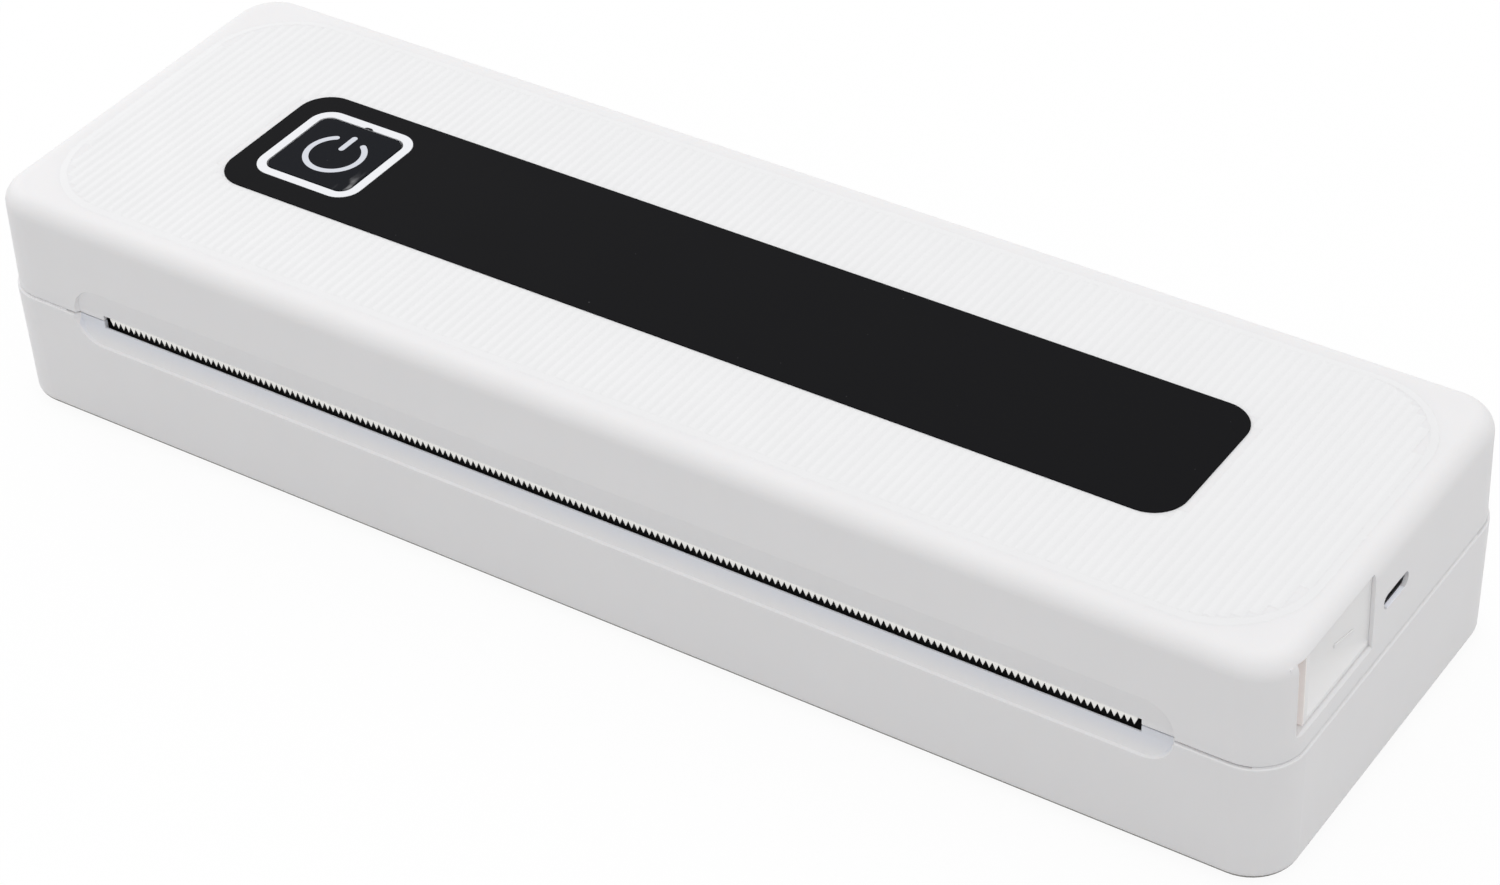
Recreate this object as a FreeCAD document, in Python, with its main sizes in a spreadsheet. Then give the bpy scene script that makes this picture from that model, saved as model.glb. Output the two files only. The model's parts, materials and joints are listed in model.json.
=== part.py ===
import FreeCAD, Part
import math
import os
import Sketcher

# Portable thermal printer for sheet-wide paper rolls.
# +X runs along the body to the right, -Y is the front with the paper slot, +Z is up.
# The origin is at the middle of the footprint, on the surface that the feet stand on.

# Driving dimensions in millimetres and degrees.
SIZES = [
    # casing
    ("body_length", 265.0),
    ("body_depth", 82.4),
    ("body_height", 46.4),
    ("seam_share", 0.5423),
    ("foot_drop", 0.6),
    ("seam_gap", 0.3),
    ("base_seam_round", 0.25),
    ("cover_seam_round", 0.2),
    ("wall", 2.0),
    ("top_wall", 2.4),
    ("floor_wall", 2.0),
    ("corner_radius", 9.0),
    ("top_round", 3.4),
    ("bottom_round", 1.8),
    ("side_draft", 1.3),
    ("seam_ledge", 0.4),
    ("cover_draft", 0.2),
    ("lap_height", 1.2),
    ("lap_clearance", 0.3),
    # top of the cover
    ("rib_field_margin", 6.5),
    ("rib_field_radius", 15.8),
    ("rib_field_rise", 0.2),
    ("rib_field_round", 0.18),
    ("rib_height", 0.2),
    ("panel_margin", 33.75),
    ("panel_depth", 32.4),
    ("panel_radius", 6.2),
    ("panel_thickness", 1.2),
    ("panel_clearance", 0.1),
    ("key_inset", 15.65),
    ("key_y", 0.5),
    ("ring_side", 22.8),
    ("ring_radius", 4.3),
    ("ring_gap", 0.075),
    ("key_side", 18.6),
    ("key_radius", 2.45),
    ("key_gap", 0.3),
    ("key_travel", 0.5),
    ("key_flange", 1.2),
    ("key_flange_thickness", 1.0),
    ("key_stop_gap", 0.3),
    # front recess, paper slot and tear blade
    ("recess_margin", 6.2),
    ("recess_above", 6.3),
    ("recess_below", 5.3),
    ("recess_sink", 1.2),
    ("recess_brow", 0.5),
    ("recess_lip", 0.6),
    ("recess_flare", 0.5),
    ("recess_shoulder", 1.0),
    ("slot_above", 1.2),
    ("slot_below", 1.5),
    ("slot_land", 0.3),
    ("slot_fall", 1.6),
    ("blade_skin", 0.5),
    ("blade_drop", 0.85),
    ("blade_thickness", 0.5),
    ("blade_gap", 0.05),
    ("blade_margin", 0.6),
    ("tooth_pitch", 1.21),
    ("tooth_height", 1.35),
    ("blade_height", 5.6),
    # hinge
    ("barrel_radius", 2.2),
    ("barrel_gap", 0.3),
    ("hinge_inset", 22.5),
    ("knuckle_length", 14.0),
    ("ear_length", 6.0),
    ("pin_radius", 1.0),
    ("pin_clearance", 0.05),
    ("pin_seat", 0.02),
    ("hinge_rib", 4.0),
    ("hinge_rib_height", 5.0),
    ("ledge_gap", 0.5),
    # release button and its pocket
    ("pocket_inset", 6.5),
    ("pocket_heel", 0.8),
    ("pocket_rise", 4.3),
    ("pocket_headroom", 1.8),
    ("pocket_sink", 5.6),
    ("pocket_wall", 1.5),
    ("pocket_chamfer", 0.45),
    ("button_gap", 0.3),
    ("button_travel", 2.5),
    ("button_front_gap", 2.8),
    ("button_rim", 1.3),
    ("button_scoop", 3.4),
    ("button_scoop_height", 8.5),
    ("button_scoop_end", 0.1),
    ("button_land", 0.8),
    ("button_setback", 1.1),
    # charging socket
    ("port_behind_pocket", 7.9),
    ("port_rise", 10.3),
    ("port_length", 8.6),
    ("port_height", 2.65),
    ("port_clearance", 0.15),
    ("port_skin", 1.2),
    ("socket_depth", 7.4),
    ("socket_wall", 0.25),
    ("socket_lip", 0.25),
    ("socket_setback", 0.1),
    ("deck_setback", 1.2),
    ("tongue_width", 6.6),
    ("tongue_thickness", 0.7),
    ("board_thickness", 1.2),
    ("charge_front", 6.0),
    ("charge_back", 14.0),
    ("post_radius", 1.8),
    # paper bin, shared by the tray below and the arch above
    ("bin_front_gap", 1.4),
    ("bin_floor_gap", 0.2),
    ("bin_board_gap", 0.6),
    ("ledge_width", 8.5),
    ("sheet", 1.4),
    ("end_wall", 1.6),
    ("tray_top", 1.8),
    ("tray_floor_gap", 0.4),
    ("frame_rise", 0.4),
    ("frame_head_room", 6.8),
    ("bay_margin", 1.5),
    ("bay_corner_inset", 6.8),
    ("floor_gap", 1.8),
    # platen roller
    ("platen_radius", 5.5),
    ("platen_drop", 1.2),
    ("platen_end_gap", 0.5),
    ("shaft_radius", 2.5),
    ("trough_gap", 1.1),
    ("trough_floor", 3.6),
    ("bush_wall", 1.6),
    ("bush_flange", 1.1),
    ("bush_flange_length", 1.0),
    # print head
    ("head_gap", 0.3),
    ("heater_thickness", 0.7),
    ("heater_width", 10.0),
    ("head_thickness", 4.0),
    ("head_groove_depth", 1.0),
    ("head_groove_lip", 2.7),
    ("head_front", 5.7),
    ("head_back", 12.1),
    ("head_pin_inset", 2.1),
    ("head_pin_length", 3.4),
    ("leaf_thickness", 0.4),
    ("leaf_length", 44.0),
    ("leaf_width", 6.0),
    ("leaf_gap", 0.15),
    ("leaf_share", 0.6),
    # drive
    ("drive_module", 0.6),
    ("motor_module", 0.5),
    ("gear_backlash", 0.12),
    ("gear_clearance", 0.8),
    ("gear_width", 3.2),
    ("wheel_width", 2.6),
    ("gear_gap", 0.4),
    ("reduction_angle", 75.0),
    ("motor_angle", 25.0),
    ("axle_radius", 1.0),
    ("motor_size", 8.5),
    ("motor_length", 10.6),
    ("motor_clearance", 0.5),
    ("motor_end_gap", 1.5),
    ("motor_shaft", 0.8),
    ("plate_thickness", 1.0),
    ("plate_foot", 7.0),
    ("plate_notch", 1.2),
    # boards, battery and latch
    ("board_beyond_key", 20.9),
    ("board_end_inset", 37.5),
    ("board_front", 13.5),
    ("board_back_gap", 4.5),
    ("board_drop", 3.4),
    ("board_boss_inset", 4.5),
    ("chip_size", 10.0),
    ("chip_height", 1.2),
    ("switch_size", 6.0),
    ("plunger_radius", 1.6),
    ("plunger_height", 0.4),
    ("cell_length", 50.0),
    ("cell_headroom", 0.6),
    ("cell_back_gap", 2.0),
    ("cradle_floor", 2.4),
    ("cell_gap", 0.2),
    ("spring_room", 3.4),
    ("latch_width", 2.8),
    ("latch_rise", 5.6),
    ("latch_height", 3.0),
    ("latch_clearance", 0.4),
    ("hook_inset", 0.9),
    ("hook_width", 3.0),
    ("hook_nose", 2.5),
    ("hook_clearance", 0.3),
    ("nose_height", 1.8),
    ("sensor_size", 5.0),
    ("sensor_height", 1.0),
    # fasteners and feet
    ("boss_radius", 3.0),
    ("screw_radius", 1.2),
    ("screw_head_radius", 2.2),
    ("screw_head_height", 1.3),
    ("screw_length", 8.0),
    ("tray_screw_inset", 9.5),
    ("frame_screw_inset", 19.5),
    ("foot_radius", 5.0),
    ("foot_sink", 0.6),
    ("foot_x_inset", 20.5),
    ("foot_y_inset", 12.0),
]

PLATEN_TEETH = 26
SMALL_WHEEL_TEETH = 14
LARGE_WHEEL_TEETH = 32
PINION_TEETH = 10
PRESSURE_ANGLE = math.radians(20)

Vector = FreeCAD.Vector
doc = FreeCAD.newDocument("portable_printer")
sheet = doc.addObject("Spreadsheet::Sheet", "dims")


class Size:
    """A length: the expression that binds it to the sheet, and its number."""

    def __init__(self, text, value):
        self.text = text
        self.value = value

    def __add__(self, other):
        other = as_size(other)
        return Size(f"({self.text} + {other.text})", self.value + other.value)

    def __sub__(self, other):
        other = as_size(other)
        return Size(f"({self.text} - {other.text})", self.value - other.value)

    def __mul__(self, other):
        other = as_size(other)
        return Size(f"({self.text} * {other.text})", self.value * other.value)

    def __truediv__(self, other):
        other = as_size(other)
        return Size(f"({self.text} / {other.text})", self.value / other.value)

    def __rsub__(self, other):
        return as_size(other) - self

    def __rtruediv__(self, other):
        return as_size(other) / self

    def __neg__(self):
        return Size(f"(0 - {self.text})", -self.value)

    __radd__ = __add__
    __rmul__ = __mul__


def as_size(number):
    if isinstance(number, Size):
        return number
    return Size(f"({float(number)!r})", float(number))


def cosine(angle):
    return Size(f"cos({angle.text})", math.cos(math.radians(angle.value)))


def smaller(first, second):
    return Size(f"min({first.text}; {second.text})", min(first.value, second.value))


def sine(angle):
    return Size(f"sin({angle.text})", math.sin(math.radians(angle.value)))


class Dimensions:
    """The sheet's cells as sizes, by their aliases."""

    def __init__(self):
        for row, (alias, value) in enumerate(SIZES, start=1):
            sheet.set(f"A{row}", alias)
            sheet.set(f"B{row}", str(value))
            sheet.setAlias(f"B{row}", alias)
        doc.recompute()
        for alias, _ in SIZES:
            setattr(self, alias, Size(f"dims.{alias}", float(getattr(sheet, alias))))


d = Dimensions()


# Helpers: bound properties, primitives and booleans

def bind(item, prop, length):
    item.setExpression(prop, as_size(length).text)


def place(item, x, y, z):
    for axis, position in (("x", x), ("y", y), ("z", z)):
        bind(item, f"Placement.Base.{axis}", position)


def block(name, x, y, z):
    """A box between two positions on each axis."""
    item = doc.addObject("Part::Box", name)
    for prop, (low, high) in (("Length", x), ("Width", y), ("Height", z)):
        bind(item, prop, as_size(high) - low)
    place(item, x[0], y[0], z[0])
    return item


AXIS_TURN = {
    "x": FreeCAD.Rotation(Vector(0, 1, 0), 90),
    "y": FreeCAD.Rotation(Vector(1, 0, 0), -90),
    "z": FreeCAD.Rotation(),
}


def rod(name, axis, radius, span, across):
    """A cylinder along an axis, with its centre line at two positions across it."""
    item = doc.addObject("Part::Cylinder", name)
    item.Placement.Rotation = AXIS_TURN[axis]
    bind(item, "Radius", radius)
    bind(item, "Height", as_size(span[1]) - span[0])
    corner = {"x": (span[0], *across), "y": (across[0], span[0], across[1]), "z": (*across, span[0])}
    place(item, *corner[axis])
    return item


def fuse(name, *items):
    item = doc.addObject("Part::MultiFuse", name)
    item.Shapes = list(items)
    item.Refine = True
    return item


def cut(name, base, *tools):
    item = doc.addObject("Part::Cut", name)
    item.Base = base
    item.Tool = tools[0] if len(tools) == 1 else fuse(name + "_tools", *tools)
    item.Refine = True
    return item


def common(name, *items):
    item = doc.addObject("Part::MultiCommon", name)
    item.Shapes = list(items)
    item.Refine = True
    return item


def group(name, *items):
    item = doc.addObject("Part::Compound", name)
    item.Links = list(items)
    return item


# Helpers: bodies from sketches

def new_body(name):
    return doc.addObject("PartDesign::Body", name)


def new_sketch(body, role, level):
    """A sketch on one of the body's own origin planes, moved to a level along the plane's axis."""
    plane = next(feature for feature in body.Origin.OriginFeatures if feature.Role == role)
    drawing = body.newObject("Sketcher::SketchObject", body.Name + "_sketch")
    drawing.AttachmentSupport = [(plane, "")]
    drawing.MapMode = "FlatFace"
    facing_front = role == "XZ_Plane"
    bind(drawing, "AttachmentOffset.Base.z", -as_size(level) if facing_front else level)
    return drawing


def fix(drawing, kind, length, *target):
    index = drawing.addConstraint(Sketcher.Constraint(kind, *target, as_size(length).value))
    drawing.setExpression(f"Constraints[{index}]", as_size(length).text)


def rounded_rectangle(drawing, u, v, radius):
    """Four lines and four tangent corner arcs between two positions on each axis."""
    u_low, u_high, v_low, v_high = (as_size(length) for length in (*u, *v))
    r = as_size(radius).value
    left, right, low, high = u_low.value, u_high.value, v_low.value, v_high.value
    corners = [(right - r, low + r, -90), (right - r, high - r, 0),
               (left + r, high - r, 90), (left + r, low + r, 180)]
    sides = [((left + r, low), (right - r, low)), ((right, low + r), (right, high - r)),
             ((right - r, high), (left + r, high)), ((left, high - r), (left, low + r))]
    edges = []
    for (start, end), (cu, cv, angle) in zip(sides, corners):
        edges.append(drawing.addGeometry(Part.LineSegment(Vector(*start, 0), Vector(*end, 0))))
        circle = Part.Circle(Vector(cu, cv, 0), Vector(0, 0, 1), r)
        arc = Part.ArcOfCircle(circle, math.radians(angle), math.radians(angle + 90))
        edges.append(drawing.addGeometry(arc))
    for edge, following in zip(edges, edges[1:] + edges[:1]):
        drawing.addConstraint(Sketcher.Constraint("Tangent", edge, 2, following, 1))
    for side, direction in zip(edges[0::2], ("Horizontal", "Vertical", "Horizontal", "Vertical")):
        drawing.addConstraint(Sketcher.Constraint(direction, side))
    for arc in edges[3::2]:
        drawing.addConstraint(Sketcher.Constraint("Equal", edges[1], arc))
    fix(drawing, "Radius", radius, edges[1])
    fix(drawing, "DistanceY", v_low, -1, 1, edges[0], 1)
    fix(drawing, "DistanceX", u_high, -1, 1, edges[2], 1)
    fix(drawing, "DistanceY", v_high, -1, 1, edges[4], 1)
    fix(drawing, "DistanceX", u_low, -1, 1, edges[6], 1)


class Arc:
    """An arc to a corner: its centre, its radius and whether it turns counter-clockwise."""

    def __init__(self, centre, radius, counter_clockwise):
        self.centre = [as_size(length) for length in centre]
        self.radius = as_size(radius)
        self.counter_clockwise = counter_clockwise


def closed_outline(drawing, corners):
    """Lines and arcs through corners (u, v) or (u, v, Arc), the arc leading to that corner."""
    count = len(corners)
    arcs = [corner[2] if len(corner) == 3 else None for corner in corners]
    points = [[as_size(corner[0]).value, as_size(corner[1]).value] for corner in corners]
    free_axis = [None] * count
    for index, arc in enumerate(arcs):
        if arc is None:
            continue
        for end in (index - 1, index):
            offset = [points[end][axis] - arc.centre[axis].value for axis in (0, 1)]
            loose = 0 if abs(offset[0]) > abs(offset[1]) else 1
            reach = math.sqrt(arc.radius.value ** 2 - offset[1 - loose] ** 2)
            points[end][loose] = arc.centre[loose].value + math.copysign(reach, offset[loose])
            free_axis[end] = loose
    edges = []
    for index, arc in enumerate(arcs):
        start, end = Vector(*points[index - 1], 0), Vector(*points[index], 0)
        if arc is None:
            edges.append((drawing.addGeometry(Part.LineSegment(start, end)), 1, 2))
            continue
        centre = Vector(arc.centre[0].value, arc.centre[1].value, 0)
        first, last = (start, end) if arc.counter_clockwise else (end, start)
        angles = [math.atan2(point.y - centre.y, point.x - centre.x) for point in (first, last)]
        circle = Part.Circle(centre, Vector(0, 0, 1), arc.radius.value)
        edge = drawing.addGeometry(Part.ArcOfCircle(circle, angles[0], angles[1]))
        edges.append((edge, 1, 2) if arc.counter_clockwise else (edge, 2, 1))
    for (edge, _, end), (following, start, _) in zip(edges, edges[1:] + edges[:1]):
        drawing.addConstraint(Sketcher.Constraint("Coincident", edge, end, following, start))
    for arc, (edge, _, _) in zip(arcs, edges):
        if arc is not None:
            fix(drawing, "DistanceX", arc.centre[0], -1, 1, edge, 3)
            fix(drawing, "DistanceY", arc.centre[1], -1, 1, edge, 3)
            fix(drawing, "Radius", arc.radius, edge)
    for corner, loose, (edge, _, end) in zip(corners, free_axis, edges):
        for axis, kind in enumerate(("DistanceX", "DistanceY")):
            if axis != loose:
                fix(drawing, kind, corner[axis], -1, 1, edge, end)


def pad(body, drawing, length, taper=None, downwards=False):
    feature = body.newObject("PartDesign::Pad", body.Name + "_pad")
    feature.Profile = drawing
    feature.Reversed = downwards
    bind(feature, "Length", length)
    if taper is not None:
        bind(feature, "TaperAngle", taper)
    return feature


def round_edges(body, feature, radius, level):
    """Round the edges of a feature that lie at one height."""
    doc.recompute()
    names = []
    for number, edge in enumerate(feature.Shape.Edges, start=1):
        heights = [vertex.Z for vertex in edge.Vertexes]
        if all(abs(height - as_size(level).value) < 0.01 for height in heights):
            names.append(f"Edge{number}")
    rounding = body.newObject("PartDesign::Fillet", body.Name + "_round")
    rounding.Base = (feature, names)
    bind(rounding, "Radius", radius)
    return rounding


def plate(name, x, y, z, radius, rounding=None):
    """A flat plate with rounded corners, and with a rounded upper edge if asked."""
    body = new_body(name)
    drawing = new_sketch(body, "XY_Plane", z[0])
    rounded_rectangle(drawing, x, y, radius)
    feature = pad(body, drawing, as_size(z[1]) - z[0])
    if rounding is not None:
        round_edges(body, feature, rounding, z[1])
    return body


def loft(body, kind, sections):
    feature = body.newObject(kind, body.Name + "_loft")
    feature.Profile = sections[0]
    feature.Sections = sections[1:]
    feature.Ruled = True
    return feature


def prism(name, role, span, corners):
    """An outline drawn on a plane and padded over a span along the plane's axis."""
    body = new_body(name)
    from_back = role == "XZ_Plane"
    drawing = new_sketch(body, role, span[1] if from_back else span[0])
    closed_outline(drawing, corners)
    pad(body, drawing, as_size(span[1]) - span[0])
    return body


def drafted_casing(name, inset, seam, far, radius, rounding, downwards, seam_rounding=None, draft=d.side_draft):
    """A block that narrows away from the seam and is rounded at its far face, and at the seam if asked."""
    body = new_body(name)
    drawing = new_sketch(body, "XY_Plane", seam)
    x_half = d.body_length / 2 - inset
    y_half = d.body_depth / 2 - inset
    rounded_rectangle(drawing, (-x_half, x_half), (-y_half, y_half), radius)
    length = (seam - far) if downwards else (far - seam)
    feature = pad(body, drawing, length, -draft, downwards)
    feature = round_edges(body, feature, rounding, far)
    if seam_rounding is not None:
        round_edges(body, feature, seam_rounding, seam)
    return body


# Places that several pieces share

half_length = d.body_length / 2
half_depth = d.body_depth / 2
seam = d.body_height * d.seam_share
cover_rim = seam + d.seam_gap / 2
base_rim = seam - d.seam_gap / 2
shell_bottom = d.foot_drop
floor_top = shell_bottom + d.floor_wall
field_top = d.body_height - d.rib_height
border_top = field_top - d.rib_field_rise
ceiling = border_top - d.top_wall
axis_y = half_depth - d.barrel_radius
BEYOND = 4.0

# The end bays hold the gears and the motor, and the platen has the length between them.
gear_stack = d.bush_flange_length + d.gear_gap / 2 + d.gear_width + d.gear_gap + d.wheel_width + d.gear_gap
end_bay = d.wall + d.motor_end_gap + d.motor_length + d.plate_thickness + gear_stack + d.end_wall + d.platen_end_gap
platen_half = half_length - end_bay
end_in = platen_half + d.platen_end_gap
end_out = end_in + d.end_wall
bay_end = half_length - d.wall - d.bay_margin
slot_half = platen_half
recess_half = slot_half + d.recess_margin

# From the front: platen gear, print head, hood, latch, paper bin. From the back: hinge and rear ledge.
gear_reach = d.drive_module * (PLATEN_TEETH / 2 + 1)
platen_y = -half_depth + d.wall + d.gear_clearance + gear_reach
head_back = platen_y + d.head_back
hood_wall = head_back + d.head_gap
hood_back = hood_wall + d.sheet
latch_front = hood_back + d.spring_room
latch_back = latch_front + d.latch_width
catch_edge = latch_back + d.hook_nose + d.hook_clearance
trough_front = platen_y - d.platen_radius - d.trough_gap
trough_back = platen_y + d.platen_radius + d.trough_gap
bay_corner = -half_depth + d.bay_corner_inset
sheet_back = axis_y - d.hinge_rib - d.ledge_gap
bin_left = latch_back + d.bin_front_gap

# Levels of the boards and of the sheets that line the two halves
board_top = ceiling - d.board_drop
board_low = board_top - d.board_thickness
tray_high = seam - d.tray_top
tray_low = tray_high - d.sheet
frame_low = seam + d.frame_rise
frame_high = frame_low + d.sheet
hood_low = seam + d.frame_head_room
hood_high = hood_low + d.sheet
latch_low = seam + d.latch_rise
latch_high = latch_low + d.latch_height
platen_z = seam - d.platen_drop - d.platen_radius
trough_low = platen_z - d.platen_radius - d.trough_floor
heater_low = platen_z + d.platen_radius + d.head_gap
head_low = heater_low + d.heater_thickness
head_high = head_low + d.head_thickness
head_pin_axis = (head_back - d.head_pin_inset, head_low + d.head_thickness / 2)

# The roll bin is as large as the depth and the height leave room for.
bin_top = board_low - d.bin_board_gap
bin_low = floor_top + d.bin_floor_gap
bin_radius = smaller((sheet_back - d.ledge_width - d.sheet - bin_left) / 2, (bin_top - bin_low) / 2 - d.sheet)
bin_outer = bin_radius + d.sheet
bin_y = bin_left + bin_radius
bin_z = (bin_top + bin_low) / 2
ledge_y = (bin_y + bin_outer + axis_y - d.hinge_rib) / 2

# The battery cells lie behind the bin, between the rear ledge and the top.
cell_radius = (ceiling - d.cell_headroom - frame_high - d.cradle_floor) / 2
cell_axis = (half_depth - d.wall - d.cell_back_gap - cell_radius, ceiling - d.cell_headroom - cell_radius)
cell_reach = d.cell_gap + d.cell_length

# Top panel, release pocket and charging port
panel_half = half_length - d.panel_margin
panel_top = d.body_height
panel_low = panel_top - d.panel_thickness
key_x = -panel_half + d.key_inset
lap_face = (d.wall + d.seam_ledge - d.lap_clearance) / 2
pocket_front = -half_depth + d.pocket_inset
pocket_back = latch_back + d.pocket_heel
pocket_low = seam + d.pocket_rise
pocket_top = border_top - d.pocket_headroom
pocket_floor = half_length - d.pocket_sink
port_y = pocket_back + d.port_behind_pocket
port_z = seam + d.port_rise


def both_sides(x):
    """The same span on the right and on the left."""
    return [x, (-as_size(x[1]), -as_size(x[0]))]


def mirrored(x, y):
    return [(sign * x, y) for sign in (-1, 1)]


tray_places = mirrored(platen_half - d.tray_screw_inset, ledge_y)
trough_places = mirrored(platen_half - d.tray_screw_inset, platen_y)
frame_places = mirrored(platen_half - d.frame_screw_inset, ledge_y)
hood_places = mirrored(platen_half - d.frame_screw_inset, platen_y)
foot_places = [spot for sign in (-1, 1)
               for spot in mirrored(half_length - d.foot_x_inset, sign * (half_depth - d.foot_y_inset))]


# Tools that cut both halves of the casing

def exit_recess():
    """The stadium-shaped dip round the paper slot: two shallow slopes that meet there, inside flared walls."""
    low, high = seam - d.recess_below, seam + d.recess_above
    outline = new_body("recess_outline")
    sections = []
    for level in (d.wall, as_size(-1)):
        drawing = new_sketch(outline, "XZ_Plane", -half_depth + level)
        grow = (d.recess_lip - level) * d.recess_flare
        rounded_rectangle(drawing, (-recess_half - grow, recess_half + grow), (low - grow, high + grow),
                          (high - low) / 2 + grow - 0.05)
        sections.append(drawing)
    loft(outline, "PartDesign::AdditiveLoft", sections)
    sink, lip, brow = (-half_depth + depth for depth in (d.recess_sink, d.recess_lip, d.recess_brow))
    outside = -half_depth - BEYOND
    corners = [(outside, low - 1), (lip, low - 1), (lip, low), (sink, seam - d.slot_below),
               (sink, seam + d.slot_above), (brow, high), (brow, high + 1), (outside, high + 1)]
    slopes = prism("recess_slopes", "YZ_Plane", (-half_length, half_length), corners)
    return common("exit_recess", outline, slopes)


recess = exit_recess()
paper_slot = block("paper_slot", (-slot_half, slot_half),
                   (-half_depth - BEYOND, -half_depth + d.wall + BEYOND),
                   (seam - d.slot_below, seam + d.slot_above))
blade_root = seam + d.slot_above - d.blade_drop
blade_face = -half_depth + d.recess_sink + d.blade_skin
hinge_x = platen_half - d.hinge_inset
knuckle_span = (hinge_x - d.knuckle_length / 2, hinge_x + d.knuckle_length / 2)
hinge_end = knuckle_span[1] + d.barrel_gap + d.ear_length
hinge_start = knuckle_span[0] - d.barrel_gap - d.ear_length


def barrels(name, radius, spans):
    return [rod(f"{name}_{number}", "x", radius, span, (axis_y, seam)) for number, span in enumerate(spans)]


knuckle_spans = both_sides(knuckle_span)
ear_spans = both_sides((hinge_start, knuckle_span[0] - d.barrel_gap))
ear_spans += both_sides((knuckle_span[1] + d.barrel_gap, hinge_end))


def widened(spans, gap):
    return [(as_size(low) - gap, as_size(high) + gap) for low, high in spans]


def hinge_wedge(name, upwards):
    """The 45 degree relief behind the hinge line, which lets the cover swing back."""
    reach = d.barrel_radius + BEYOND
    height = seam + reach if upwards else seam - reach
    corners = [(axis_y, seam), (axis_y + reach, seam), (axis_y + reach, height)]
    if not upwards:
        corners.reverse()
    return prism(name, "YZ_Plane", (-half_length - BEYOND, half_length + BEYOND), corners)


# Base half

def base_shell():
    outer = drafted_casing("base_outer", as_size(0), base_rim, shell_bottom, d.corner_radius, d.bottom_round, True,
                           d.base_seam_round)
    core = drafted_casing("base_core", d.wall, base_rim, floor_top, d.corner_radius - d.wall,
                          d.bottom_round / 2, True)
    walls = cut("base_walls", outer, core)
    lap_inset = lap_face + d.lap_clearance
    lap_x, lap_y = half_length - lap_inset, half_depth - lap_inset
    lap = plate("base_lap_outer", (-lap_x, lap_x), (-lap_y, lap_y), (base_rim - 1, base_rim + d.lap_height),
                d.corner_radius - lap_inset)
    lap_core = plate("base_lap_core", (-half_length + d.wall, half_length - d.wall),
                     (-half_depth + d.wall, half_depth - d.wall),
                     (base_rim - BEYOND, base_rim + BEYOND), d.corner_radius - d.wall)
    lap_back = block("base_lap_back", (-half_length, half_length), (sheet_back, half_depth + BEYOND),
                     (base_rim, base_rim + BEYOND))
    lap_end = recess_half + d.recess_shoulder + d.lap_clearance
    lap_front = block("base_lap_front", (-lap_end, lap_end),
                      (-half_depth - BEYOND, -half_depth + d.wall + BEYOND), (base_rim, base_rim + BEYOND))
    tongue = cut("base_tongue", lap, lap_core, lap_back, lap_front)
    rib = block("base_hinge_rib", (-hinge_end - d.wall, hinge_end + d.wall), (axis_y - d.hinge_rib, axis_y + 1),
                (base_rim - d.hinge_rib_height, base_rim))
    bosses = [rod(f"base_boss_{n}", "z", d.boss_radius, (shell_bottom + 1, tray_low), spot)
              for n, spot in enumerate(tray_places)]
    bosses += [rod(f"base_front_boss_{n}", "z", d.boss_radius, (shell_bottom + 1, trough_low), spot)
               for n, spot in enumerate(trough_places)]
    bodied = fuse("base_bodied", walls, tongue, rib, *bosses)
    feet = [rod(f"foot_seat_{n}", "z", d.foot_radius + d.seam_gap / 2,
                (shell_bottom - 1, shell_bottom + d.foot_sink), spot) for n, spot in enumerate(foot_places)]
    holes = [rod(f"base_screw_hole_{n}", "z", d.screw_radius, (tray_low - d.screw_length, tray_low + 1), spot)
             for n, spot in enumerate(tray_places)]
    reliefs = barrels("knuckle_relief", d.barrel_radius + d.barrel_gap, widened(knuckle_spans, d.barrel_gap))
    land = -half_depth + d.recess_sink + d.slot_land
    inside = -half_depth + d.wall + 1
    slot_low = seam - d.slot_below
    fall = prism("slot_fall", "YZ_Plane", (-slot_half, slot_half),
                 [(land, slot_low), (inside, slot_low - (inside - land) * d.slot_fall), (inside, slot_low + 1),
                  (land, slot_low + 1)])
    opened = cut("base_opened", bodied, recess, paper_slot, fall, hinge_wedge("base_wedge", False),
                 *feet, *holes, *reliefs)
    eared = fuse("base_eared", opened, *barrels("ear", d.barrel_radius, ear_spans))
    bores = barrels("ear_bore", d.pin_radius + d.pin_seat, widened(ear_spans, 0.5))
    return cut("base_shell", eared, *bores)


def rubber_feet():
    span = (as_size(0), shell_bottom + d.foot_sink)
    return group("rubber_feet", *[rod(f"foot_{n}", "z", d.foot_radius, span, spot)
                                  for n, spot in enumerate(foot_places)])


def bush_holes(name, radius):
    return [rod(f"{name}_{n}", "x", radius, span, (platen_y, platen_z))
            for n, span in enumerate(both_sides((end_in - 1, end_out + 1)))]


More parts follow.
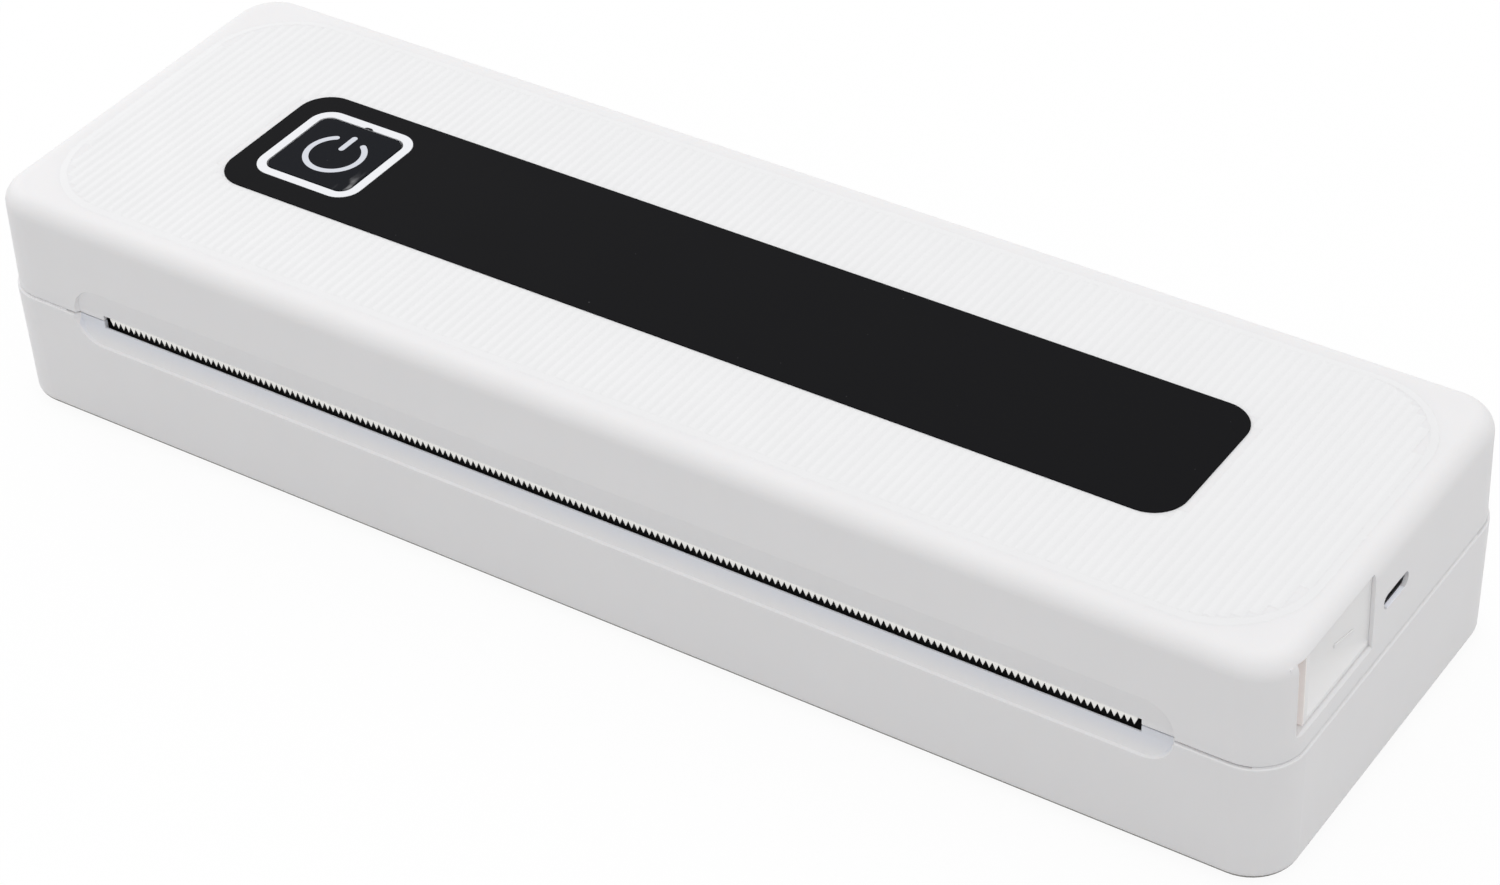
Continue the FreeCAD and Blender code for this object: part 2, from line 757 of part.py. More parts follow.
def paper_tray():
    """A folded sheet: platen trough, guide shelf, half-round bin and rear ledge, with end walls and bay covers."""
    t = d.sheet
    centre = (bin_y, bin_z)
    inner_left, inner_right = bin_y - bin_radius, bin_y + bin_radius
    corners = [
        (trough_front - t, tray_high), (trough_front - t, trough_low), (trough_back + t, trough_low),
        (trough_back + t, tray_low), (bin_y - bin_outer, tray_low), (bin_y - bin_outer, bin_z),
        (bin_y + bin_outer, bin_z, Arc(centre, bin_outer, True)), (bin_y + bin_outer, tray_low),
        (sheet_back, tray_low), (sheet_back, tray_high), (inner_right, tray_high), (inner_right, bin_z),
        (inner_left, bin_z, Arc(centre, bin_radius, False)), (inner_left, tray_high), (trough_back, tray_high),
        (trough_back, trough_low + t), (trough_front, trough_low + t), (trough_front, tray_high),
    ]
    folded = prism("tray_sheet", "YZ_Plane", (-end_in, end_in), corners)
    walls = [block(f"tray_end_{n}", span, (trough_front - t, sheet_back), (floor_top + d.tray_floor_gap, tray_high))
             for n, span in enumerate(both_sides((end_in, end_out)))]
    covers = [block(f"tray_bay_{n}", span, (catch_edge, sheet_back), (tray_low, tray_high))
              for n, span in enumerate(both_sides((end_out, bay_end)))]
    covers.append(block("tray_bay_front", (end_out, bay_end),
                        (bay_corner, latch_front - d.button_travel - d.bay_margin), (tray_low, tray_high)))
    tray = fuse("tray_solid", folded, *walls, *covers)
    collar = d.shaft_radius + d.bush_wall + d.bush_flange + d.gear_gap
    notch = block("bush_notch", (end_out, end_out + d.bush_flange_length + d.gear_gap),
                  (platen_y - collar, platen_y + collar), (tray_low - 1, tray_high + 1))
    holes = [rod(f"tray_screw_hole_{n}", "z", d.screw_radius, (tray_low - 1, tray_high + 1), spot)
             for n, spot in enumerate(tray_places)]
    seats = bush_holes("bush_seat", d.shaft_radius + d.bush_wall + d.pin_seat)
    return cut("paper_tray", tray, notch, *seats, *holes)


def screw(name, spot, head_base, downwards):
    """A pan-head screw, its head on one side of the sheet and its shank through it."""
    sign = 1 if downwards else -1
    tips = [head_base + sign * d.screw_head_height, head_base - sign * d.screw_length]
    shank = (tips[1], head_base) if downwards else (head_base, tips[1])
    head = (head_base, tips[0]) if downwards else (tips[0], head_base)
    parts = [rod(name + "_head", "z", d.screw_head_radius, head, spot),
             rod(name + "_shank", "z", d.screw_radius - d.pin_clearance, shank, spot)]
    return fuse(name, *parts)


def tray_screws():
    return group("tray_screws", *[screw(f"tray_screw_{n}", spot, tray_high, True)
                                  for n, spot in enumerate(tray_places)])


def platen_bushes():
    bushes = []
    for n, side in enumerate((1, -1)):
        sleeve = (end_in, end_out + d.bush_flange_length)
        collar = (end_out, end_out + d.bush_flange_length)
        if side < 0:
            sleeve, collar = both_sides(sleeve)[1], both_sides(collar)[1]
        centre = (platen_y, platen_z)
        tube = rod(f"bush_tube_{n}", "x", d.shaft_radius + d.bush_wall, sleeve, centre)
        rim = rod(f"bush_rim_{n}", "x", d.shaft_radius + d.bush_wall + d.bush_flange, collar, centre)
        bore = rod(f"bush_bore_{n}", "x", d.shaft_radius + d.pin_clearance, widened([sleeve], 1)[0], centre)
        bushes.append(cut(f"bush_{n}", fuse(f"bush_solid_{n}", tube, rim), bore))
    return group("platen_bushes", *bushes)


def hinge_pins():
    spans = both_sides((hinge_start, hinge_end))
    return group("hinge_pins", *barrels("hinge_pin", d.pin_radius, spans))


# Gears

def gear_outline(teeth, module, phase):
    """Involute teeth round the origin in the YZ plane, one tooth centred at the phase angle."""
    pitch_radius = teeth * module / 2
    base_radius = pitch_radius * math.cos(PRESSURE_ANGLE)
    tip_radius = pitch_radius + module
    root_radius = pitch_radius - 1.25 * module
    start_radius = max(base_radius, root_radius)
    involute = math.tan(PRESSURE_ANGLE) - PRESSURE_ANGLE
    half_tooth = math.pi / (2 * teeth) - d.gear_backlash.value / (2 * pitch_radius)

    def half_angle(radius):
        roll = math.acos(min(1.0, base_radius / radius))
        return half_tooth + involute - (math.tan(roll) - roll)

    def point(radius, angle):
        return Vector(0, radius * math.cos(angle), radius * math.sin(angle))

    flank = [start_radius, (start_radius + tip_radius) / 2, tip_radius]
    pitch_angle = 2 * math.pi / teeth
    edges = []
    for tooth in range(teeth):
        middle = phase + tooth * pitch_angle
        rise = [point(radius, middle - half_angle(radius)) for radius in flank]
        fall = [point(radius, middle + half_angle(radius)) for radius in reversed(flank)]
        foot = half_angle(start_radius)
        feet = [point(root_radius, middle - foot), point(root_radius, middle + foot)]
        if root_radius < start_radius:
            edges.append(Part.LineSegment(feet[0], rise[0]).toShape())
        edges.append(Part.Arc(*rise).toShape())
        edges.append(Part.Arc(rise[-1], point(tip_radius, middle), fall[0]).toShape())
        edges.append(Part.Arc(*fall).toShape())
        if root_radius < start_radius:
            edges.append(Part.LineSegment(fall[-1], feet[1]).toShape())
        next_foot = point(root_radius, middle + pitch_angle - foot)
        gap_middle = point(root_radius, middle + pitch_angle / 2)
        edges.append(Part.Arc(feet[1], gap_middle, next_foot).toShape())
    return Part.Wire(edges)


def gear_blank(teeth, module, phase, low, width):
    profile = Part.Face(gear_outline(teeth, module, phase))
    profile.translate(Vector(low, 0, 0))
    return profile.extrude(Vector(width, 0, 0))


def turned(radius, low, high):
    return Part.makeCylinder(radius, high - low, Vector(low, 0, 0), Vector(1, 0, 0))


def shaped(name, shape, x, y, z):
    item = doc.addObject("Part::Feature", name)
    item.Shape = shape
    item.Placement.Base = Vector(as_size(x).value, as_size(y).value, as_size(z).value)
    return item


drive_distance = d.drive_module * ((PLATEN_TEETH + SMALL_WHEEL_TEETH) / 2)
motor_distance = d.motor_module * ((LARGE_WHEEL_TEETH + PINION_TEETH) / 2)
reduction_y = platen_y + drive_distance * cosine(d.reduction_angle)
reduction_z = platen_z + drive_distance * sine(d.reduction_angle)
motor_y = reduction_y + motor_distance * cosine(d.motor_angle)
motor_z = reduction_z + motor_distance * sine(d.motor_angle)
motor_radius = smaller(d.motor_size, ceiling - motor_z - d.motor_clearance)
gear_in = -(end_out + d.bush_flange_length + d.gear_gap / 2)
gear_out = gear_in - d.gear_width
wheel_in = gear_out - d.gear_gap
wheel_out = wheel_in - d.wheel_width
plate_in = wheel_out - d.gear_gap
plate_out = plate_in - d.plate_thickness


def platen_shaft():
    return rod("platen_shaft", "x", d.shaft_radius, (gear_out - d.gear_gap / 2, end_out + d.bush_flange_length),
               (platen_y, platen_z))


def platen_rubber():
    span = (-platen_half, platen_half)
    sleeve = rod("rubber_sleeve", "x", d.platen_radius, span, (platen_y, platen_z))
    bore = rod("rubber_bore", "x", d.shaft_radius, widened([span], 1)[0], (platen_y, platen_z))
    return cut("platen_rubber", sleeve, bore)


def platen_gear():
    phase = math.radians(d.reduction_angle.value)
    low, high = gear_out.value, gear_in.value
    teeth = gear_blank(PLATEN_TEETH, d.drive_module.value, phase, low, high - low)
    return shaped("platen_gear", teeth.cut(turned(d.shaft_radius.value, low - 1, high + 1)), 0, platen_y, platen_z)


def reduction_gear():
    """A small and a large wheel on one hub."""
    small_phase = math.radians(d.reduction_angle.value) + math.pi + math.pi / SMALL_WHEEL_TEETH
    large_phase = math.radians(d.motor_angle.value)
    small = gear_blank(SMALL_WHEEL_TEETH, d.drive_module.value, small_phase, gear_out.value, d.gear_width.value)
    large = gear_blank(LARGE_WHEEL_TEETH, d.motor_module.value, large_phase, wheel_out.value, d.wheel_width.value)
    hub = turned(2 * d.axle_radius.value, wheel_out.value, gear_in.value)
    bore = turned((d.axle_radius + d.pin_clearance).value, wheel_out.value - 1, gear_in.value + 1)
    return shaped("reduction_gear", small.fuse([large, hub]).cut(bore), 0, reduction_y, reduction_z)


def motor_pinion():
    phase = math.radians(d.motor_angle.value) + math.pi + math.pi / PINION_TEETH
    teeth = gear_blank(PINION_TEETH, d.motor_module.value, phase, wheel_out.value, d.wheel_width.value)
    spindle = turned(d.motor_shaft.value, (plate_out - d.motor_length / 2).value, wheel_in.value)
    return shaped("motor_pinion", teeth.fuse(spindle), 0, motor_y, motor_z)


def reduction_axle():
    return rod("reduction_axle", "x", d.axle_radius, (plate_out, gear_in + d.gear_gap / 2), (reduction_y, reduction_z))


def motor():
    """A short can with a front boss that centres it in the plate."""
    centre = (motor_y, motor_z)
    can = rod("motor_can", "x", motor_radius, (plate_out - d.motor_length, plate_out), centre)
    collar = rod("motor_collar", "x", motor_radius / 3, (plate_out - 1, plate_in), centre)
    bore = rod("motor_bore", "x", d.motor_shaft + d.pin_clearance,
               (plate_out - d.motor_length / 2 - 0.3, plate_in + 1), centre)
    return cut("motor", fuse("motor_solid", can, collar), bore)


def motor_plate():
    """A bent steel bracket: an upright that carries motor and axle, and a foot on the inner cover."""
    foot_front, foot_back = catch_edge, catch_edge + d.plate_foot
    low, high = frame_high, ceiling - d.motor_clearance
    upright = block("plate_upright", (plate_out, plate_in), (trough_front, foot_back), (low, high))
    notch = block("plate_notch_cut", (plate_out - 1, plate_in + 1), (trough_front - 1, foot_front),
                  (low - 1, low + d.plate_notch))
    foot = block("plate_foot_tab", (plate_out - d.plate_foot, plate_out), (foot_front, foot_back),
                 (low, low + d.plate_thickness))
    holes = [rod("plate_axle_hole", "x", d.axle_radius, (plate_out - 1, plate_in + 1), (reduction_y, reduction_z)),
             rod("plate_motor_hole", "x", motor_radius / 3 + d.pin_seat, (plate_out - 1, plate_in + 1),
                 (motor_y, motor_z))]
    holes.append(rod("plate_screw_hole", "z", d.screw_radius, (low - 1, low + d.plate_thickness + 1), plate_screw))
    return cut("motor_plate", fuse("plate_solid", upright, foot), notch, *holes)


plate_screw = (plate_out - d.plate_foot / 2, catch_edge + d.plate_foot / 2)


def motor_screw():
    """The screw that holds the bracket's foot down on the inner cover."""
    top = frame_high + d.plate_thickness
    head = rod("motor_screw_head", "z", d.screw_head_radius, (top, top + d.screw_head_height), plate_screw)
    shank = rod("motor_screw_shank", "z", d.screw_radius - d.pin_clearance, (frame_low, top), plate_screw)
    return fuse("motor_screw", head, shank)


# Cover half

def arch_corners():
    """The inner cover's sheet: hood over the head, shelf, arch over the roll and rear ledge."""
    centre = (bin_y, bin_z)
    left_in, right_in = bin_y - bin_radius, bin_y + bin_radius
    left_out, right_out = bin_y - bin_outer, bin_y + bin_outer
    return [
        (hood_wall, frame_low), (left_in, frame_low), (right_in, frame_low, Arc(centre, bin_radius, False)),
        (sheet_back, frame_low), (sheet_back, frame_high), (right_out, frame_high),
        (left_out, frame_high, Arc(centre, bin_outer, True)), (hood_back, frame_high), (hood_back, hood_high),
        (trough_front, hood_high), (trough_front, hood_low), (hood_wall, hood_low),
    ]


def cover_frame():
    folded = prism("frame_sheet", "YZ_Plane", (-end_in, end_in), arch_corners())
    ends = []
    for n, span in enumerate(both_sides((end_in, end_out))):
        corners = [(bin_y - bin_outer, frame_low, Arc((bin_y, bin_z), bin_outer, True)),
                   (bin_y + bin_outer, frame_low)]
        ends.append(prism(f"frame_end_{n}", "YZ_Plane", span, corners))
        ends.append(block(f"frame_cheek_{n}", span, (trough_front, hood_back), (frame_low, hood_high)))
        ends.append(block(f"frame_sill_{n}", span, (hood_wall, bin_y - bin_radius), (frame_low, frame_high)))
        ends.append(block(f"frame_heel_{n}", span, (bin_y + bin_radius, sheet_back), (frame_low, frame_high)))
    bay_left, bay_right = (-bay_end, -end_out), (end_out, bay_end)
    floors = [block("frame_bay_left", bay_left, (catch_edge - d.floor_gap, sheet_back), (frame_low, frame_high)),
              block("frame_bay_right", bay_right, (bay_corner, sheet_back), (frame_low, frame_high))]
    solid = fuse("frame_solid", folded, *ends, *floors)
    hook_in = end_out + d.hook_inset
    window = block("frame_window", (hook_in - d.latch_clearance, hook_in + d.hook_width + d.latch_clearance),
                   (latch_front - d.button_travel - d.latch_clearance, catch_edge + d.latch_clearance),
                   (frame_low - 1, frame_high + 1))
    pin_holes = [rod(f"head_pin_hole_{n}", "x", d.pin_radius + d.pin_clearance, span, head_pin_axis)
                 for n, span in enumerate(both_sides((end_in - 1, end_out + 1)))]
    holes = [rod(f"frame_screw_hole_{n}", "z", d.screw_radius, (low - 1, low + d.sheet + 1), spot)
             for n, (spot, low) in enumerate(zip(frame_places + hood_places, [frame_low] * 2 + [hood_low] * 2))]
    holes.append(rod("frame_motor_screw_hole", "z", d.screw_radius, (frame_low - 1, frame_high + 1), plate_screw))
    return cut("cover_frame", solid, window, *pin_holes, *holes)


def pocket_sill():
    """A chamfer along the lower edge of the button's pocket."""
    sill, outside = half_length - d.seam_ledge - d.pocket_chamfer, half_length + BEYOND
    return prism("pocket_sill", "XZ_Plane", (pocket_front, pocket_back),
                 [(sill, pocket_low), (outside, pocket_low - (outside - sill)), (outside, pocket_low + 0.5),
                  (sill, pocket_low + 0.5)])


def cover_shell():
    outer = drafted_casing("cover_outer", d.seam_ledge, cover_rim, border_top, d.corner_radius - d.seam_ledge,
                           d.top_round, False, d.cover_seam_round, d.cover_draft)
    core = drafted_casing("cover_core", d.wall, cover_rim, ceiling, d.corner_radius - d.wall,
                          d.top_round - d.wall, False)
    walls = cut("cover_walls", outer, core)
    rib = block("cover_hinge_rib", (-hinge_end - d.wall, hinge_end + d.wall), (axis_y - d.hinge_rib, axis_y + 1),
                (cover_rim, cover_rim + d.hinge_rib_height))
    tub = block("button_tub", (pocket_floor - d.pocket_wall, half_length - d.wall + 0.5),
                (pocket_front - d.pocket_wall, pocket_back + d.pocket_wall),
                (pocket_low - d.pocket_wall, ceiling + 0.5))
    bosses = [rod(f"cover_boss_{n}", "z", d.boss_radius, (frame_high, ceiling + 0.5), spot)
              for n, spot in enumerate(frame_places)]
    bosses += [rod(f"cover_front_boss_{n}", "z", d.boss_radius, (hood_high, ceiling + 0.5), spot)
               for n, spot in enumerate(hood_places)]
    bosses += [rod(f"board_boss_{n}", "z", d.boss_radius - 0.6, (board_top, ceiling + 0.2), spot)
               for n, spot in enumerate(board_places())]
    field_x, field_y = half_length - d.rib_field_margin, half_depth - d.rib_field_margin
    field = plate("rib_field", (-field_x, field_x), (-field_y, field_y), (border_top - 1, field_top),
                  d.rib_field_radius, d.rib_field_round)
    bodied = fuse("cover_bodied", walls, field, rib, tub, *bosses)
    lap_x, lap_y = half_length - lap_face, half_depth - lap_face
    rabbet = plate("cover_rabbet", (-lap_x, lap_x), (-lap_y, lap_y),
                   (cover_rim - 1, cover_rim + d.lap_height + d.lap_clearance), d.corner_radius - lap_face)
    rabbet_back = block("cover_rabbet_back", (-half_length, half_length), (sheet_back + d.lap_clearance, half_depth),
                        (cover_rim - BEYOND, cover_rim + BEYOND))
    shoulder = recess_half + d.recess_shoulder
    rabbet_front = block("cover_rabbet_front", (-shoulder, shoulder), (-half_depth, -half_depth + d.wall + BEYOND),
                         (cover_rim - BEYOND, cover_rim + BEYOND))
    tools = [
        recess, paper_slot, cut("cover_rabbet_cut", rabbet, rabbet_back, rabbet_front),
        hinge_wedge("cover_wedge", True),
        *barrels("ear_relief", d.barrel_radius + d.barrel_gap, widened(ear_spans, d.barrel_gap)),
        panel_plate("panel_pocket", d.panel_clearance, (panel_low, d.body_height + BEYOND)),
        key_square("key_window", d.key_side + 2 * d.key_gap, d.key_radius,
                   (ceiling - BEYOND, d.body_height + BEYOND)),
        block("button_pocket", (pocket_floor, half_length + BEYOND), (pocket_front, pocket_back),
              (pocket_low, pocket_top)),
        pocket_sill(),
        block("stem_window", (pocket_floor - d.pocket_wall - 1, pocket_floor + 1),
              (latch_front - d.button_travel - d.latch_clearance, latch_back + d.latch_clearance),
              (latch_low - d.latch_clearance, latch_high + d.latch_clearance)),
        port_plate("port_opening", d.port_clearance, (half_length - d.wall - BEYOND, half_length + BEYOND)),
        port_plate("socket_seat", d.socket_lip + d.port_clearance,
                   (half_length - d.wall - BEYOND, half_length - d.port_skin)),
        block("blade_seat", (-slot_half, slot_half), (blade_face, -half_depth + d.wall + BEYOND),
              (seam, blade_root + d.blade_height + d.blade_gap)),
    ]
    hole_depth = d.screw_length - d.sheet + d.seam_gap
    tools += [rod(f"cover_screw_hole_{n}", "z", d.screw_radius, (low - 1, low + hole_depth), spot)
              for n, (spot, low) in enumerate(zip(frame_places + hood_places, [frame_high] * 2 + [hood_high] * 2))]
    opened = cut("cover_opened", bodied, *tools)
    knuckled = fuse("cover_knuckled", opened, *barrels("knuckle", d.barrel_radius, knuckle_spans))
    bores = barrels("knuckle_bore", d.pin_radius + d.pin_clearance, widened(knuckle_spans, 0.5))
    return cut("cover_shell", knuckled, *bores)


def panel_plate(name, grow, z):
    x_half, y_half = panel_half + grow, d.panel_depth / 2 + grow
    return plate(name, (-x_half, x_half), (-y_half, y_half), z, d.panel_radius + grow)


def key_square(name, side, radius, z):
    return plate(name, (key_x - side / 2, key_x + side / 2), (d.key_y - side / 2, d.key_y + side / 2), z, radius)


def port_plate(name, grow, span):
    """A slot-shaped bar along X at the charging port."""
    body = new_body(name)
    drawing = new_sketch(body, "YZ_Plane", span[0])
    u_half, v_half = d.port_length / 2 + grow, d.port_height / 2 + grow
    rounded_rectangle(drawing, (port_y - u_half, port_y + u_half), (port_z - v_half, port_z + v_half),
                      v_half - 0.05)
    pad(body, drawing, as_size(span[1]) - span[0])
    return body


board_x = (key_x - d.board_beyond_key, platen_half - d.board_end_inset)
board_span_y = (d.key_y - d.board_front, cell_axis[0] - cell_radius - d.board_back_gap)


def board_places():
    inset = d.board_boss_inset
    return [(x, y) for x in (board_x[0] + inset, board_x[1] - inset)
            for y in (board_span_y[0] + inset, board_span_y[1] - inset)]


def panel():
    return cut("panel", panel_plate("panel_sheet", as_size(0), (panel_low, panel_top)),
               key_square("ring_window", d.ring_side + 2 * d.ring_gap, d.ring_radius, (panel_low - 1, panel_top + 1)))


def light_ring():
    inner = d.key_side + 2 * d.key_gap
    return cut("light_ring", key_square("ring_outer", d.ring_side, d.ring_radius, (panel_low, panel_top)),
               key_square("ring_inner", inner, d.key_radius, (panel_low - 1, panel_top + 1)))


def power_key():
    flange_top = ceiling - d.key_stop_gap
    cap = key_square("key_cap", d.key_side, d.key_radius, (flange_top - d.key_flange_thickness, panel_top))
    flange = key_square("key_flange_plate", d.key_side + 2 * d.key_flange, d.key_radius,
                        (flange_top - d.key_flange_thickness, flange_top))
    return fuse("power_key", cap, flange)


def power_switch():
    """A low push switch on the board under the key."""
    top = ceiling - d.key_stop_gap - d.key_flange_thickness - d.key_travel - d.pin_clearance
    half = d.switch_size / 2
    case = block("switch_case", (key_x - half, key_x + half), (d.key_y - half, d.key_y + half),
                 (board_top, top - d.plunger_height))
    plunger = rod("switch_plunger", "z", d.plunger_radius, (top - 2 * d.plunger_height, top), (key_x, d.key_y))
    return fuse("power_switch", case, plunger)


def main_board():
    return plate("main_board", board_x, board_span_y, (board_low, board_top), d.board_thickness)


# Name, place along and across the board, then length, width and height in chip sizes
CHIPS = [
    ("processor", 0.42, 0.50, 1.0, 1.0, 1.0),
    ("radio_module", 0.84, 0.55, 1.6, 1.2, 1.6),
    ("head_connector", 0.57, 0.11, 4.0, 0.4, 1.8),
    ("charger_chip", 0.71, 0.72, 0.5, 0.5, 0.8),
    ("motor_connector", 0.26, 0.82, 1.0, 0.45, 2.0),
]


def board_parts():
    """Chips and connectors on the upper side of the main board."""
    chips = []
    for name, along, across, length, width, height in CHIPS:
        x = board_x[0] + along * (board_x[1] - board_x[0])
        y = board_span_y[0] + across * (board_span_y[1] - board_span_y[0])
        half_x, half_y = length * d.chip_size / 2, width * d.chip_size / 2
        chips.append(block(name, (x - half_x, x + half_x), (y - half_y, y + half_y),
                           (board_top, board_top + height * d.chip_height)))
    return group("board_parts", *chips)


def usb_socket():
    """A pressed shell with a flat tongue inside."""
    mouth = half_length - d.port_skin - d.socket_setback
    back = mouth - d.socket_depth
    shell = cut("socket_shell", port_plate("socket_outer", d.socket_lip, (back, mouth)),
                port_plate("socket_inner", d.socket_lip - d.socket_wall, (back + d.socket_wall, mouth + 1)))
    tongue = block("socket_tongue", (back + d.socket_wall / 2, mouth - d.socket_wall),
                   (port_y - d.tongue_width / 2, port_y + d.tongue_width / 2),
                   (port_z - d.tongue_thickness / 2, port_z + d.tongue_thickness / 2))
    return fuse("usb_socket", shell, tongue)


def charge_board():
    """A small board under the socket, on two pillars of the inner cover."""
    high = port_z - d.port_height / 2 - d.socket_lip
    low = high - d.board_thickness
    x = (end_out + d.hook_inset + 2 * d.hook_width, half_length - d.wall - d.deck_setback)
    middle = (x[0] + x[1]) / 2
    deck = block("charge_deck", x, (port_y - d.charge_front, port_y + d.charge_back), (low, high))
    posts = [rod(f"charge_post_{n}", "z", d.post_radius, (frame_high, low), (middle, y))
             for n, y in enumerate((port_y - d.charge_front / 2, port_y + d.charge_back - d.charge_front / 2))]
    return fuse("charge_board", deck, *posts)


def battery_cells():
    cells = []
    for n, span in enumerate(both_sides((d.cell_gap, cell_reach))):
        cells.append(rod(f"cell_{n}", "x", cell_radius, span, cell_axis))
    return group("battery_cells", *cells)


def battery_cradle():
    """A saddle on the rear ledge that the two cells lie in."""
    saddle = block("cradle_block", (-cell_reach, cell_reach), (bin_y + bin_outer + d.cell_gap, sheet_back),
                   (frame_high, cell_axis[1] - cell_radius * 0.45))
    hollow = rod("cradle_hollow", "x", cell_radius + d.cell_gap / 2, (-cell_reach - 1, cell_reach + 1), cell_axis)
    return cut("battery_cradle", saddle, hollow)


def tear_blade():
    """A thin strip let into the back of the slot's upper lip, with saw teeth along its lower edge."""
    half = (slot_half - d.blade_margin).value
    count = int(2 * half / d.tooth_pitch.value)
    start = -count * d.tooth_pitch.value / 2
    root = blade_root.value
    top = root + d.blade_height.value
    points = [Vector(start, 0, top), Vector(start, 0, root)]
    for tooth in range(count):
        middle = start + (tooth + 0.5) * d.tooth_pitch.value
        points.append(Vector(middle, 0, root - d.tooth_height.value))
        points.append(Vector(start + (tooth + 1) * d.tooth_pitch.value, 0, root))
    points += [Vector(-start, 0, top), points[0]]
    strip = Part.Face(Part.makePolygon(points)).extrude(Vector(0, d.blade_thickness.value, 0))
    return shaped("tear_blade", strip, 0, blade_face + d.blade_gap, 0)


def head_plate():
    span = (-platen_half, platen_half)
    front = platen_y - d.head_front
    bar = block("head_bar", span, (front, head_back), (head_low, head_high))
    groove = block("head_groove", widened([span], 1)[0],
                   (front + d.head_groove_lip, front + d.head_groove_lip + d.leaf_width + 2 * d.leaf_thickness),
                   (head_high - d.head_groove_depth, head_high + 1))
    bores = [rod(f"head_bore_{n}", "x", d.pin_radius, pin, head_pin_axis) for n, pin in enumerate(head_pin_spans())]
    return cut("head_plate", bar, groove, *bores)


def head_pin_spans():
    return both_sides((end_out - d.head_pin_length, as_size(end_out)))


def heater_strip():
    return block("heater_strip", (-platen_half, platen_half),
                 (platen_y - d.heater_width / 2, platen_y + d.heater_width / 2), (heater_low, head_low))


def head_pins():
    return group("head_pins", *[rod(f"head_pin_{n}", "x", d.pin_radius, span, head_pin_axis)
                                for n, span in enumerate(head_pin_spans())])


def bowed_strip(name, role, middle, span, peak, ends):
    """A leaf spring bowed between two faces: its middle on the lower one, its ends on the upper one."""
    half = d.leaf_length / 2
    sag = ends - peak
    radius = (half * half + sag * sag) / (2 * sag)
    centre = (middle, peak + radius)
    left, right = middle - half, middle + half
    inside = ends + d.leaf_thickness
    corners = [(right, ends, Arc(centre, radius, True)), (right, inside),
               (left, inside, Arc(centre, radius - d.leaf_thickness, False)), (left, ends)]
    return prism(name, role, span, corners)


def head_springs():
    """Two leaf springs between the hood and the print head."""
    low = head_high - d.head_groove_depth + d.leaf_gap
    high = hood_low - d.leaf_gap - d.leaf_thickness
    front = platen_y - d.head_front + d.head_groove_lip + d.leaf_thickness
    leaf_x = (platen_half - d.frame_screw_inset) * d.leaf_share
    return group("head_springs", *[bowed_strip(f"head_leaf_{n}", "XZ_Plane", sign * leaf_x,
                                               (front, front + d.leaf_width), low, high)
                                   for n, sign in enumerate((-1, 1))])


def latch_spring():
    """A leaf spring that pushes the latch bar back from the hood's wall."""
    return bowed_strip("latch_spring", "XY_Plane", as_size(0), (latch_low, latch_high),
                       hood_back + d.leaf_gap, latch_front - d.leaf_gap - d.leaf_thickness)


def latch_bar():
    """A bar across the cover with a hook at each end."""
    inner = end_out + d.hook_inset
    outer = inner + d.hook_width
    bar = block("latch_beam", (-outer, pocket_floor + d.button_gap), (latch_front, latch_back),
                (latch_low, latch_high))
    nose_top = tray_low - d.hook_clearance
    nose_low = nose_top - d.nose_height
    hooks = []
    for n, span in enumerate(both_sides((inner, outer))):
        hooks.append(block(f"hook_arm_{n}", span, (latch_front, latch_back), (nose_low, latch_high)))
        corners = [(latch_back, nose_low), (latch_back + d.hook_nose, nose_low + d.nose_height / 2),
                   (latch_back + d.hook_nose, nose_top), (latch_back, nose_top)]
        hooks.append(prism(f"hook_nose_{n}", "YZ_Plane", span, corners))
    return fuse("latch_bar", bar, *hooks)


def scoop_section(body, y, depth, rise, face, land, top):
    """One section of the finger scoop: a cove that rises from the land to a face at some depth."""
    drawing = new_sketch(body, "XZ_Plane", y)
    radius = (depth * depth + rise * rise) / (2 * depth)
    floor = face - depth
    closed_outline(drawing, [(face + 1, land), (face + 1, top + 1), (floor, top + 1), (floor, land + rise),
                             (face, land, Arc((floor + radius, land + rise), radius, True))])
    return drawing


def release_button():
    """A block that fills the pocket apart from its travel. Its finger scoop is deep behind the front rim."""
    low, high = pocket_low + d.button_gap, pocket_top - d.button_gap
    front, back = pocket_front + d.button_front_gap, pocket_back - d.button_gap
    face = half_length - d.button_setback
    land = low + d.button_land
    inner = pocket_floor + d.button_gap
    body = prism("release_button", "XZ_Plane", (front, back), [(inner, low), (face, low), (face, high), (inner, high)])
    share = d.button_scoop_end / d.button_scoop
    sections = [scoop_section(body, front + d.button_rim, d.button_scoop, d.button_scoop_height, face, land, high),
                scoop_section(body, back + 0.5, d.button_scoop_end, d.button_scoop_height * share, face, land, high)]
    loft(body, "PartDesign::SubtractiveLoft", sections)
    return body


def frame_screws():
    screws = [screw(f"frame_screw_{n}", spot, frame_low, False) for n, spot in enumerate(frame_places)]
    screws += [screw(f"hood_screw_{n}", spot, hood_low, False) for n, spot in enumerate(hood_places)]
    return group("frame_screws", *screws)


def paper_sensor():
    """A small reflective sensor under the shelf that the paper passes."""
    return block("paper_sensor", (-d.sensor_size / 2, d.sensor_size / 2),
                 (hood_back, hood_back + d.sensor_size), (frame_low - d.sensor_height, frame_low))


